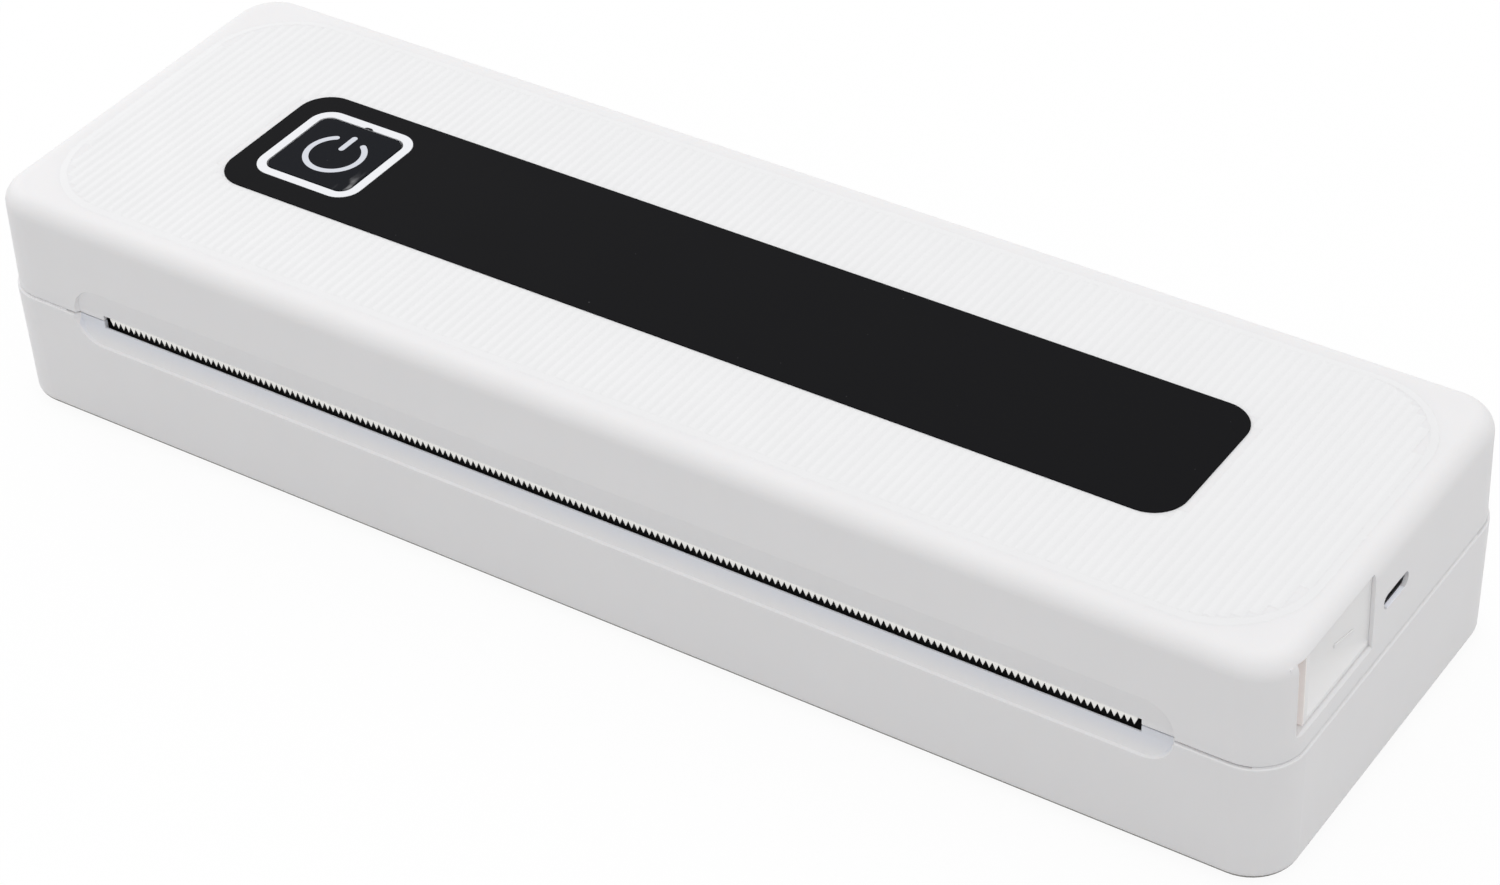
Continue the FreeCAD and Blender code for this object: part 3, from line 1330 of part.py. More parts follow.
SUBPARTS = [
    base_shell(), rubber_feet(), paper_tray(), tray_screws(), platen_bushes(), hinge_pins(),
    platen_shaft(), platen_rubber(), platen_gear(),
    cover_shell(), cover_frame(), frame_screws(), panel(), light_ring(), power_key(), power_switch(),
    main_board(), board_parts(), charge_board(), usb_socket(), battery_cells(), battery_cradle(), tear_blade(),
    head_plate(), heater_strip(), head_pins(), head_springs(),
    release_button(), latch_bar(), latch_spring(),
    motor(), motor_plate(), motor_screw(), motor_pinion(), reduction_gear(), reduction_axle(), paper_sensor(),
]

doc.recompute()
broken = [item.Name for item in doc.Objects if {"Invalid", "Error"} & set(item.State)]
broken += [item.Label for item in SUBPARTS if item.Shape.isNull() or not item.Shape.isValid()]
if broken:
    raise RuntimeError("These objects failed: " + ", ".join(broken))
os.makedirs("parts", exist_ok=True)
for item in SUBPARTS:
    print(f"{item.Label}: {len(item.Shape.Solids)} solids, {item.Shape.Volume:.1f} mm3")
    item.Shape.exportStep(f"parts/{item.Label}.step")
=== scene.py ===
# %% [markdown]
# # A portable printer, dressed in Blender
# The solids of this slim white printer come from CAD and arrive as a fixed frame. This lesson
# gives them their looks: a camera and soft light, the moulded and printed finishes, and the fine
# forms that only show close up, such as the ribs on the cover and the power symbol on the key.

# %% Load the frame
import json
import math
import bmesh
import bpy
from mathutils import Matrix, Vector


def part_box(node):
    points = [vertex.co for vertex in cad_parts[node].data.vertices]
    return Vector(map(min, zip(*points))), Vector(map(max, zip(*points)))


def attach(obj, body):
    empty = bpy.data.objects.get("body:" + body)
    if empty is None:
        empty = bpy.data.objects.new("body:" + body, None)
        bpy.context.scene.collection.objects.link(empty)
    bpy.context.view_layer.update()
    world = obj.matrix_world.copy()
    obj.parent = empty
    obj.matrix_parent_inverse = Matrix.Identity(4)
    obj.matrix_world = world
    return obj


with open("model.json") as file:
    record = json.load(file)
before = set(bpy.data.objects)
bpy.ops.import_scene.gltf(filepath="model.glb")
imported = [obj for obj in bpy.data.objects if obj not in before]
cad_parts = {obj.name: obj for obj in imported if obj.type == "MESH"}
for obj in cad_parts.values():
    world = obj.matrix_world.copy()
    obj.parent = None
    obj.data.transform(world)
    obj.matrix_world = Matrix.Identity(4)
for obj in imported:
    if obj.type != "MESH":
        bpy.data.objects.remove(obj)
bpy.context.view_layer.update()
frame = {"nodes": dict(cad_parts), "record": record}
nodes = frame["nodes"]
scene = bpy.context.scene
MM = 0.001

# %% [markdown]
# ## Camera
# The view looks down on the front and the right end from a step away. A camera can be placed by
# eye, but the long straight edges allow better: the view was solved from the corners of the
# casing. Its elevation, azimuth and roll, in degrees, are turned into a rotation here. The offset
# is the way from the middle of the casing's underside to the camera, in millimetres along the
# camera's own axes, and the feet lift that underside off the floor.

# %% Camera
ELEVATION, AZIMUTH, ROLL = 37.584, 35.211, -2.906
FOCAL_PIXELS, IMAGE_WIDTH, SENSOR = 4013.754, 1500, 36.0
CAMERA_OFFSET, FEET = Vector((4.912, 9.571, 722.497)), 0.6


def camera_axes(elevation, azimuth, roll):
    """Right, up and back directions of a camera that looks down at the origin."""
    flat = math.cos(elevation)
    back = Vector((math.sin(azimuth) * flat, -math.cos(azimuth) * flat, math.sin(elevation)))
    right = Vector((math.cos(azimuth), math.sin(azimuth), 0))
    up = back.cross(right)
    tilt = Matrix.Rotation(roll, 3, back)
    return tilt @ right, tilt @ up, back


axes = Matrix(camera_axes(*(math.radians(angle) for angle in (ELEVATION, AZIMUTH, ROLL))))
camera_data = bpy.data.cameras.new("camera")
camera_data.sensor_width = SENSOR
camera_data.lens = FOCAL_PIXELS / IMAGE_WIDTH * SENSOR
camera = bpy.data.objects.new("camera", camera_data)
stand = (axes.transposed() @ CAMERA_OFFSET + Vector((0, 0, FEET))) * MM
camera.matrix_world = Matrix.Translation(stand) @ axes.transposed().to_4x4()
scene.collection.objects.link(camera)
scene.camera = camera
print("camera at", [round(value, 4) for value in stand], "lens", round(camera_data.lens, 2))

# %% [markdown]
# ## Shader arithmetic
# Finishes are easier to read as formulas than as wiring. `Signal` wraps one output of a node, so
# that `grain * 0.5 + 0.2` adds the Math nodes by itself.


# %% Signals
class Signal:
    """A value that varies over a surface; Python's operators on it add Math nodes."""

    def __init__(self, wiring, output):
        self.wiring, self.output = wiring, output

    def reckon(self, operation, first, second):
        return self.wiring.add("ShaderNodeMath", {"operation": operation}, {0: first, 1: second})

    def __add__(self, other):
        return self.reckon("ADD", self, other)

    def __sub__(self, other):
        return self.reckon("SUBTRACT", self, other)

    def __rsub__(self, other):
        return self.reckon("SUBTRACT", other, self)

    def __mul__(self, other):
        return self.reckon("MULTIPLY", self, other)

    def __lt__(self, other):
        return self.reckon("LESS_THAN", self, other)

    def __gt__(self, other):
        return self.reckon("GREATER_THAN", self, other)

    __radd__, __rmul__ = __add__, __mul__


# %% [markdown]
# Every other node comes from one method. `Wiring.add` takes a node's type, its settings, and a
# value or a signal for each socket that needs one.


# %% Wiring
class Wiring:
    """A node tree that is built up from formulas."""

    def __init__(self, tree):
        self.tree = tree

    def find(self, kind):
        return next(node for node in self.tree.nodes if node.type == kind)

    def add(self, kind, settings=None, values=None, output=0):
        node = self.tree.nodes.new(kind)
        for name, value in (settings or {}).items():
            setattr(node, name, value)
        for socket, value in (values or {}).items():
            self.join(node.inputs[socket], value)
        return Signal(self, node.outputs[output])

    def join(self, socket, value):
        if isinstance(value, Signal):
            self.tree.links.new(value.output, socket)
        else:
            socket.default_value = value


# %% [markdown]
# A finish is a Principled shader with patterns that feed it. What is the same all over the
# surface is set on the shader's own sockets. The patterns read Object coordinates, so they keep
# their real scale and stay on the piece when it moves.


# %% Finishes from patterns
class Finish(Wiring):
    """A material with one Principled shader and the patterns that it can be fed."""

    def __init__(self, name, **constants):
        self.material = bpy.data.materials.new(name)
        self.material.use_nodes = True
        super().__init__(self.material.node_tree)
        self.shader = self.find("BSDF_PRINCIPLED")
        for socket, value in constants.items():
            self.shader.inputs[socket.replace("_", " ")].default_value = value

    def feed(self, socket, signal):
        self.join(self.shader.inputs[socket], signal)

    def place(self, stretch=(1, 1, 1)):
        """Object coordinates in metres, stretched where a pattern is longer one way."""
        coordinates = self.add("ShaderNodeTexCoord", output="Object")
        return self.add("ShaderNodeMapping", values={"Vector": coordinates, "Scale": stretch})

    def along(self, axis):
        return self.add("ShaderNodeSeparateXYZ", values={0: self.place()}, output=axis)

    def noise(self, scale, detail=2.0, stretch=(1, 1, 1)):
        values = {"Vector": self.place(stretch), "Scale": scale, "Detail": detail}
        return self.add("ShaderNodeTexNoise", values=values)

    def cells(self, scale, output="Distance"):
        values = {"Vector": self.place(), "Scale": scale}
        return self.add("ShaderNodeTexVoronoi", values=values, output=output)

    def blend(self, mask, low, high):
        """One colour where the mask is 0, another where it is 1."""
        values = {0: mask, 6: low, 7: high}
        return self.add("ShaderNodeMix", {"data_type": "RGBA"}, values, output=2)

    def inside(self, **spans):
        """1 inside a block and 0 elsewhere; the block's span along each axis is in millimetres."""
        masks = []
        for axis, (start, end) in spans.items():
            along = self.along(axis)
            masks += [along > start * MM, along < end * MM]
        return math.prod(masks)

    def ease(self, value, start, end):
        """0 to 1, softly, as a value goes from start to end."""
        values = {"Value": value, "From Min": start, "From Max": end}
        return self.add("ShaderNodeMapRange", {"interpolation_type": "SMOOTHSTEP"}, values)

    def ramp(self, axis, start, end):
        """0 to 1, softly, from one place along an axis to another, in millimetres."""
        return self.ease(self.along(axis), start * MM, end * MM)

    def sheen(self, pattern, roughness, swing):
        """Let the roughness swing about its mean with a pattern."""
        self.feed("Roughness", roughness + (pattern - 0.5) * swing)

    def bump(self, height, depth, strength):
        """Raise the surface by a height signal, with the depth in metres."""
        values = {"Strength": strength, "Distance": depth, "Height": height}
        self.feed("Normal", self.add("ShaderNodeBump", values=values))


# %% [markdown]
# ## Light
# A product shot on white has a light tent. The world gives its even light, and it is plain white
# to the camera and in reflections. A softbox on the left gives the ribs a light and a dark flank,
# and a lamp above lifts the top a little.

# %% Light
WHITE, TENT = (1, 1, 1, 1), 0.9
WHITE_RAYS = ("Is Camera Ray", "Is Glossy Ray", "Is Transmission Ray")
# name, size in metres, watts, place in metres
LAMPS = (("softbox", 1.6, 6.2, (-1.75, 0.65, 1.15)), ("ceiling", 1.2, 0.8, (0.5, 0.3, 1.3)))


def in_view(wiring):
    """1 for what the camera sees, also in a gloss or through glass, and 0 for falling light."""
    return sum(wiring.add("ShaderNodeLightPath", output=kind) for kind in WHITE_RAYS)


scene.world = bpy.data.worlds.new("tent")
scene.world.use_nodes = True
tent = Wiring(scene.world.node_tree)
background = tent.find("BACKGROUND")
background.inputs["Color"].default_value = WHITE
tent_levels = {"Value": in_view(tent), "To Min": TENT, "To Max": 1.0}
tent.join(background.inputs["Strength"], tent.add("ShaderNodeMapRange", values=tent_levels))

for name, size, power, spot in LAMPS:
    lamp_data = bpy.data.lights.new(name, "AREA")
    lamp_data.size, lamp_data.energy = size, power
    lamp = bpy.data.objects.new(name, lamp_data)
    lamp.location = spot
    lamp.rotation_euler = Vector(spot).to_track_quat("Z", "Y").to_euler()
    scene.collection.objects.link(lamp)
    print(name, power, "W,", round(Vector(spot).length, 2), "m away")

# %% [markdown]
# ## Floor
# The floor gives back half of the light that falls on it, so that a face that leans back is paler
# than one that leans forward, and small forms show. To the camera it is white and keeps a trace
# of the shadow.

# %% Floor
FLOOR_HALF, FLOOR_GREY, SHADOW_SHARE = 6.0, (0.5, 0.5, 0.5, 1), 0.08


def add_object(name, shape, finish):
    """Turn a bmesh into an object of the scene that has a finish."""
    mesh = bpy.data.meshes.new(name)
    shape.to_mesh(mesh)
    shape.free()
    mesh.materials.append(finish.material)
    made = bpy.data.objects.new(name, mesh)
    scene.collection.objects.link(made)
    return made


floor_white = Finish("floor_white", Roughness=0.9)
seen = in_view(floor_white)
floor_white.feed("Base Color", floor_white.blend(seen, FLOOR_GREY, WHITE))
matt = Signal(floor_white, floor_white.shader.outputs[0])
bright = floor_white.add("ShaderNodeEmission", values={"Color": WHITE, "Strength": 1.0})
shares = {0: seen * (1 - SHADOW_SHARE), 1: matt, 2: bright}
mixed = floor_white.add("ShaderNodeMixShader", values=shares)
floor_white.join(floor_white.find("OUTPUT_MATERIAL").inputs["Surface"], mixed)

paper = bmesh.new()
bmesh.ops.create_grid(paper, x_segments=1, y_segments=1, size=FLOOR_HALF)
floor = add_object("floor", paper, floor_white)
scene.view_settings.view_transform = "Standard"
print("floor", 2 * FLOOR_HALF, "m wide")

# %% [markdown]
# ## Colours
# A colour is written as it is seen on the screen, 0 to 255, and the shader needs it linear. Most
# patterns go from one colour to a darker or paler one of the same tint.


# %% Colours
def colour(red, green, blue):
    """A colour as it is seen on the screen, 0 to 255, made linear."""
    return tuple((value / 255 / 12.92) if value <= 10 else ((value / 255 + 0.055) / 1.055) ** 2.4
                 for value in (red, green, blue)) + (1.0,)


def shade(tint, factor, lift=0.0):
    """The same tint, darker or paler."""
    return tuple(min(1.0, value * factor + lift) for value in tint[:3]) + (1.0,)


# %% [markdown]
# ## Finishes
# The casing is white injection-moulded plastic with a fine spark-eroded texture. A flat colour
# looks like paint, so the finish has a very slight mottle, a grain of a few tenths of a
# millimetre in the bump and a sheen that varies with it. White plastic also lets some light
# through its skin. The other plastics follow the same recipe with other colours.

# %% Moulded plastics
GRAIN_SCALE, GRAIN_DEPTH, MOTTLE_SCALE = 3200.0, 0.00002, 90.0
SKIN_DEPTH, SKIN_RADIUS = 0.002, (1.0, 0.85, 0.75)


def moulded(name, tint, roughness, mottle=0.03, specular=0.5, glow=0.0):
    """Moulded plastic: a faint mottle, a fine grain and a sheen that follows the grain."""
    finish = Finish(name, Specular_IOR_Level=specular, Subsurface_Weight=glow,
                    Subsurface_Scale=SKIN_DEPTH, Subsurface_Radius=SKIN_RADIUS)
    cloud = finish.noise(MOTTLE_SCALE, detail=3.0)
    grain = finish.noise(GRAIN_SCALE)
    finish.tone = finish.blend(cloud, shade(tint, 1 - mottle), tint)
    finish.feed("Base Color", finish.tone)
    finish.sheen(grain, roughness, swing=0.12)
    finish.bump(grain, GRAIN_DEPTH, strength=0.35)
    return finish


white_shell = moulded("white_shell", colour(241, 240, 241), roughness=0.46, glow=0.15)
# Painted light: the button's white is paler than the casing's, to lift its shaded scoop.
white_button = moulded("white_button", colour(248, 247, 247), roughness=0.42, glow=0.15)
rib_white = moulded("rib_white", colour(241, 241, 242), roughness=0.46)
ring_white = moulded("light_ring", colour(239, 240, 244), roughness=0.4, mottle=0.01)
tray_black = moulded("tray_plastic", colour(34, 34, 36), roughness=0.6)
frame_black = moulded("frame_plastic", colour(62, 62, 65), roughness=0.55)
bearing_black = moulded("bearing", colour(70, 70, 74), roughness=0.5)
acetal = moulded("gear_plastic", colour(226, 222, 208), roughness=0.38, mottle=0.05)
chip_black = moulded("chip", colour(40, 40, 42), roughness=0.55)
mark_pale = moulded("symbol_print", colour(214, 217, 226), roughness=0.4, mottle=0.02)
gate_black = moulded("gate_mark", colour(26, 26, 30), roughness=0.5, specular=0.05)
# Painted shade: the dark of the screws' cross slots, which are not cut.
slot_painted_shade = moulded("slot_shade", colour(58, 58, 60), roughness=0.6)
line_dark = moulded("print_dots", colour(44, 36, 32), roughness=0.3)
print("casing, linear:", [round(value, 3) for value in colour(241, 240, 241)[:3]])

# %% [markdown]
# The casing's white is not the same everywhere. The lower half of the paper exit turns a little
# bluer and greyer towards the slot, and the bottom edge has a painted shadow where it meets the
# table.
# The slit of the port and the gap before the release button are never black: painted light makes
# the slit's wall and the button's front face glow a little where they lie in shade. Blocks in
# millimetres say where these places are.

# %% Details of the white casing
EXIT_STRIP = {"X": (-113.2, 113.2), "Y": (-40.7, -38.8), "Z": (19.9, 25.1)}
EXIT_PALE, EXIT_BLUE = 19.9, 23.9
# Painted shadow: a grey band on the bottom edge, where the casing meets the table.
CONTACT_SHADOW_BAND = {"Z": (0.9, 1.85)}
PORT_SLIT = {"X": (131.0, 133.0), "Y": (-4.3, 1.7), "Z": (33.97, 36.95)}
BUTTON_FRONT = {"Y": (-32.0, -31.75)}
EXIT_TINT, PAINTED_CONTACT_SHADOW = colour(228, 230, 237), colour(112, 110, 104)
# Painted light: the glow of the port's slit and of the button's front face, which lie in shade.
DARK, PAINTED_SLIT_LIGHT, PAINTED_GAP_LIGHT = (0, 0, 0, 1), (0.2, 0.21, 0.25, 1), (0.12, 0.09, 0.075, 1)

exit_blue = white_shell.inside(**EXIT_STRIP) * white_shell.ramp("Z", EXIT_PALE, EXIT_BLUE)
tinted = white_shell.blend(exit_blue, white_shell.tone, EXIT_TINT)
# Painted shadow along the bottom edge.
contact_shadow = white_shell.inside(**CONTACT_SHADOW_BAND)
white_shell.feed("Base Color", white_shell.blend(contact_shadow, tinted, PAINTED_CONTACT_SHADOW))
# Painted light: emission that brightens the shaded slit and the button's front face.
for finish, block, glow in ((white_shell, PORT_SLIT, PAINTED_SLIT_LIGHT),
                            (white_button, BUTTON_FRONT, PAINTED_GAP_LIGHT)):
    finish.feed("Emission Color", finish.blend(finish.inside(**block), DARK, glow))
    finish.shader.inputs["Emission Strength"].default_value = 1.0
print("white casing:", len(white_shell.tree.nodes), "nodes")

# %% [markdown]
# The panel is a black sheet with a satin face, and the key is a little glossier. Dust settles on
# both, so sparse pale specks are picked out of a cell pattern: only some of the cells have one,
# and only close to the cell's middle. On the key's front right corner a patchy pale haze is a
# painted reflection, a glare of the light.

# %% Black panel and key
DUST_AND_GLARE_GREY = colour(170, 170, 172)
SPECK_SCALE, SPECK_SIZE, SPECK_RARITY = 150.0, 0.022, 0.55
MOTE_SCALE, MOTE_SIZE, MOTE_RARITY, MOTE_SHARE = 420.0, 0.03, 0.72, 0.6
# Painted reflection: where the glare lies on the key's front right corner, its patches and its
# share.
GLARE_X, GLARE_Y, GLARE_SPAN, GLARE_SHARE = (-77.0, -74.2), (0.0, -6.5), (0.46, 0.66), 0.5


def satin_black(name, roughness, specular):
    finish = Finish(name, Specular_IOR_Level=specular)
    smear = finish.noise(scale=45.0, detail=3.0)
    finish.sheen(smear, roughness, swing=0.16)
    return finish


def dots(finish, scale, size, rarity):
    return (finish.cells(scale) < size) * (finish.cells(scale, "Color") > rarity)


def dust(finish, amount):
    """Where dust lies: a few specks and some smaller, fainter motes."""
    specks = dots(finish, SPECK_SCALE, SPECK_SIZE, SPECK_RARITY)
    motes = dots(finish, MOTE_SCALE, MOTE_SIZE, MOTE_RARITY)
    return specks * amount + motes * (amount * MOTE_SHARE)


panel_black = satin_black("black_panel", roughness=0.42, specular=0.02)
panel_tone = panel_black.blend(dust(panel_black, amount=0.35), colour(22, 22, 24), DUST_AND_GLARE_GREY)
panel_black.feed("Base Color", panel_tone)

key_black = satin_black("black_key", roughness=0.3, specular=0.03)
# Painted reflection: a patchy pale glare on the key's front right corner, mixed with the dust.
glare_noise = key_black.noise(scale=520.0, detail=3.0, stretch=(1, 0.35, 1))
glare_patches = key_black.ease(glare_noise, *GLARE_SPAN)
painted_glare = glare_patches * key_black.ramp("X", *GLARE_X) * key_black.ramp("Y", *GLARE_Y)
dust_and_glare = dust(key_black, amount=0.05) + painted_glare * GLARE_SHARE
key_black.feed("Base Color", key_black.blend(dust_and_glare, colour(18, 20, 26), DUST_AND_GLARE_GREY))
print("panel:", len(panel_black.tree.nodes), "nodes; key:", len(key_black.tree.nodes), "nodes")

# %% [markdown]
# ## Metals and rubber
# Ground steel has fine lines along its length, which a stretched noise gives. Rubber is nearly
# black and dull, with the faint grind marks of a roller that was turned to size.

# %% Metals and rubber
ALONG_X, ROUND_X = (0.03, 1, 1), (1, 0.2, 0.2)


def brushed(name, tint, roughness):
    finish = Finish(name, Metallic=1.0)
    lines = finish.noise(scale=900.0, detail=3.0, stretch=ALONG_X)
    finish.feed("Base Color", finish.blend(lines, shade(tint, factor=0.8), tint))
    finish.sheen(lines, roughness, swing=0.2)
    finish.bump(lines, depth=0.00001, strength=0.3)
    return finish


def rubbery(name, tint, roughness):
    finish = Finish(name, Specular_IOR_Level=0.35)
    rings = finish.noise(scale=2200.0, stretch=ROUND_X)
    bloom = finish.noise(scale=160.0, detail=3.0)
    dusty = shade(tint, factor=1.8, lift=0.004)
    finish.feed("Base Color", finish.blend(bloom, tint, dusty))
    finish.sheen(rings, roughness, swing=0.1)
    finish.bump(rings, depth=0.00003, strength=0.4)
    return finish


steel = brushed("steel", colour(200, 201, 203), roughness=0.32)
spring_steel = brushed("spring_steel", colour(176, 177, 180), roughness=0.35)
socket_steel = brushed("socket_steel", colour(190, 191, 194), roughness=0.3)
aluminium = brushed("head_aluminium", colour(214, 215, 217), roughness=0.36)
motor_metal = brushed("motor_can", colour(188, 189, 192), roughness=0.3)
brass = brushed("brass", colour(214, 178, 104), roughness=0.3)
blade_steel = brushed("blade", colour(243, 242, 239), roughness=0.5)
roller_rubber = rubbery("platen_rubber", colour(38, 38, 40), roughness=0.62)
foot_rubber = rubbery("foot_rubber", colour(96, 96, 99), roughness=0.75)
print("steel:", len(steel.tree.nodes), "nodes; rubber:", len(foot_rubber.tree.nodes), "nodes")

# %% [markdown]
# ## Boards, heater and battery
# These only show when the cover stands open or the part is taken to pieces, but each still has
# its own finish: green solder mask with paler traces, a glazed ceramic strip and a blue shrink
# wrap.

# %% Boards, heater and battery
board_green = Finish("board", Specular_IOR_Level=0.5)
track = {"Vector": board_green.place(), "Scale": 160.0, "Mortar Size": 0.03}
traces = board_green.add("ShaderNodeTexBrick", {"offset": 0.5}, track, output="Fac")
board_tone = board_green.blend(traces, colour(28, 92, 58), colour(46, 122, 80))
board_green.feed("Base Color", board_tone)
board_green.sheen(board_green.noise(scale=300.0), roughness=0.355, swing=0.15)

ceramic = Finish("heater_ceramic", Coat_Weight=0.6)
glaze = ceramic.noise(scale=240.0, detail=3.0, stretch=ALONG_X)
ceramic.feed("Base Color", ceramic.blend(glaze, colour(150, 108, 74), colour(176, 132, 92)))
ceramic.sheen(glaze, roughness=0.2, swing=0.1)

wrap_blue = Finish("battery_wrap", Coat_Weight=0.3)
creases = wrap_blue.noise(scale=220.0, detail=4.0, stretch=(0.3, 1, 1))
wrap_blue.feed("Base Color", wrap_blue.blend(creases, colour(34, 82, 158), colour(48, 104, 186)))
wrap_blue.sheen(creases, roughness=0.35, swing=0.2)
wrap_blue.bump(creases, depth=0.0001, strength=0.4)
print("board:", len(board_green.tree.nodes), "nodes")

# %% [markdown]
# ## Dressing the frame
# Each node of the frame names its material slot in the record. A table from slot to finish
# dresses them all.

# %% Dress the frame
FINISHES = {
    "white_shell": white_shell, "white_button": white_button, "light_ring": ring_white,
    "black_panel": panel_black, "black_key": key_black,
    "frame_plastic": frame_black, "tray_plastic": tray_black, "bearing": bearing_black,
    "gear_plastic": acetal, "chip": chip_black,
    "platen_rubber": roller_rubber, "foot_rubber": foot_rubber,
    "steel": steel, "spring_steel": spring_steel, "socket_steel": socket_steel,
    "head_aluminium": aluminium, "motor_can": motor_metal, "brass": brass, "blade": blade_steel,
    "board": board_green, "heater_ceramic": ceramic, "battery_wrap": wrap_blue,
}
subparts = frame["record"]["subparts"]
for entry in subparts:
    mesh = nodes[entry["node"]].data
    mesh.materials.clear()
    mesh.materials.append(FINISHES[entry["material_slot"]].material)
print("dressed", len(subparts), "nodes with", len(FINISHES), "finishes")

# %% [markdown]
# ## Making a piece
# A piece is modelled as a bmesh in millimetres in the frame's own coordinates. This helper turns
# it into an object in metres, at the origin, that rides on a body and takes the finish that it is
# given. Edges that are sharper than a crease stay sharp where the faces are shaded smooth.

# %% Making a piece
CREASE = math.radians(40)


def make_piece(name, shape, body, finish, smooth=False):
    bmesh.ops.scale(shape, vec=(MM, MM, MM), verts=shape.verts)
    bmesh.ops.recalc_face_normals(shape, faces=shape.faces)
    for face in shape.faces:
        face.smooth = smooth
    for edge in shape.edges:
        edge.smooth = edge.calc_face_angle(math.pi) < CREASE
    piece = add_object(name, shape, finish)
    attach(piece, body)
    print(name, len(piece.data.polygons), "faces")


def millimetres(node):
    low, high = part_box(node)
    return low / MM, high / MM


# %% [markdown]
# Four ways to shape come back in several pieces: softening edges, a bar, a rounded rectangle and
# cutting away one side of a plane. A sheet becomes a solid when a copy of its faces is pushed up.


# %% Shaping
def edges_of(verts):
    return list({edge for vert in verts for edge in vert.link_edges})


def soften(shape, edges, offset):
    bmesh.ops.bevel(shape, geom=edges, offset=offset, affect="EDGES", segments=2, profile=0.5,
                    material=-1)


def add_bar(shape, size, centre, bevel, turn=0.0):
    """A bar with softened edges, turned about Z and set at its centre."""
    made = bmesh.ops.create_cube(shape, size=1.0)["verts"]
    bmesh.ops.scale(shape, vec=size, verts=made)
    bmesh.ops.rotate(shape, matrix=Matrix.Rotation(turn, 3, "Z"), verts=made)
    bmesh.ops.translate(shape, vec=centre, verts=made)
    soften(shape, edges_of(made), bevel)


def add_rounded_loop(shape, half_x, half_y, radius, level, segments=80):
    """A rounded rectangle: a circle whose quarters are moved apart. Its edges are returned."""
    made = bmesh.ops.create_circle(shape, segments=segments, radius=radius)["verts"]
    bmesh.ops.rotate(shape, matrix=Matrix.Rotation(math.pi / segments, 3, "Z"), verts=made)
    for side_x in (-1, 1):
        for side_y in (-1, 1):
            quarter = [vert for vert in made if vert.co.x * side_x > 0 and vert.co.y * side_y > 0]
            shift = (side_x * (half_x - radius), side_y * (half_y - radius), level)
            bmesh.ops.translate(shape, vec=shift, verts=quarter)
    return edges_of(made)


def cut_away(shape, point, towards):
    """Cut a shape at a plane and clear the side that a direction points to."""
    everything = shape.verts[:] + shape.edges[:] + shape.faces[:]
    bmesh.ops.bisect_plane(shape, geom=everything, plane_co=point, plane_no=towards,
                           clear_outer=True)


def thicken(shape, height):
    """Turn a sheet into a solid by pushing a copy of its faces along Z."""
    raised = bmesh.ops.extrude_face_region(shape, geom=list(shape.faces))["geom"]
    lifted = [part for part in raised if isinstance(part, bmesh.types.BMVert)]
    bmesh.ops.translate(shape, vec=(0, 0, height), verts=lifted)


# %% [markdown]
# ## Ribs on the cover
# The top of the cover has a field of fine ribs that run from front to back on all sides of the
# black panel. A bump would vanish at the edges and in the mesh file, so each rib is a low bar
# with sloping flanks and a softened crest.

# %% One rib
RIB_PITCH, RIB_WIDTH, RIB_CREST, RIB_HEIGHT, RIB_BEVEL = 1.95, 1.95, 0.5, 0.19, 0.12
LEAST_CREST = 0.05
cover_low, cover_high = millimetres("cover_shell")
field_floor = cover_high.z


def add_rib(shape, x, y_from, y_to):
    """A low bar with sloping sides and ends, and a softened crest."""
    made = bmesh.ops.create_cube(shape, size=1.0)["verts"]
    length, level = y_to - y_from, field_floor + RIB_HEIGHT / 2
    bmesh.ops.scale(shape, vec=(RIB_WIDTH, length, RIB_HEIGHT), verts=made)
    crest = [vert for vert in made if vert.co.z > 0]
    crest_share = max(LEAST_CREST, 1 - (RIB_WIDTH - RIB_CREST) / length)
    bmesh.ops.scale(shape, vec=(RIB_CREST / RIB_WIDTH, crest_share, 1), verts=crest)
    bmesh.ops.translate(shape, vec=(x, (y_from + y_to) / 2, level), verts=made)
    upper = [edge for edge in edges_of(made) if all(vert.co.z > level for vert in edge.verts)]
    soften(shape, upper, RIB_BEVEL)


# %% [markdown]
# A rib's length follows the rounded outline of the field, and the panel splits the middle ones.

# %% Field of ribs
FIELD_MARGIN, FIELD_RADIUS, RIB_INSET = 6.5, 15.8, 0.2
PANEL_GAP, PANEL_RADIUS = 0.3, 6.2
_, panel_high = millimetres("panel")
_, base_high = millimetres("base_shell")
field_x, field_y = base_high.x - FIELD_MARGIN, base_high.y - FIELD_MARGIN


def outline_reach(x, half_x, half_y, radius):
    """How far a rounded rectangle reaches in Y at a place along X."""
    into_corner = abs(x) - (half_x - radius)
    if into_corner <= 0:
        return half_y
    return half_y - radius + math.sqrt(max(0.0, radius ** 2 - into_corner ** 2))


ribs = bmesh.new()
count = int((field_x - RIB_INSET - RIB_WIDTH / 2) / RIB_PITCH)
panel_half = panel_high.x + PANEL_GAP + RIB_WIDTH / 2
rib_field = field_x - RIB_INSET, field_y - RIB_INSET, FIELD_RADIUS - RIB_INSET
rib_free = panel_half, panel_high.y + PANEL_GAP, PANEL_RADIUS + PANEL_GAP
for number in range(-count, count + 1):
    x = number * RIB_PITCH
    reach = outline_reach(abs(x) + RIB_WIDTH / 2, *rib_field)
    if abs(x) > panel_half:
        add_rib(ribs, x, -reach, reach)
    else:
        gap = outline_reach(x, *rib_free)
        add_rib(ribs, x, gap, reach)
        add_rib(ribs, x, -reach, -gap)
make_piece("cover_ribs", ribs, "cover", rib_white, smooth=True)

# %% [markdown]
# The field stands a little above the border of the cover. In the mould this step is a soft slope
# and not a sharp edge: three rounded loops, each with its offset from the field's outline and its
# rise over the field's floor, are bridged into a sheet that leans on the step, and the sheet is
# thickened.

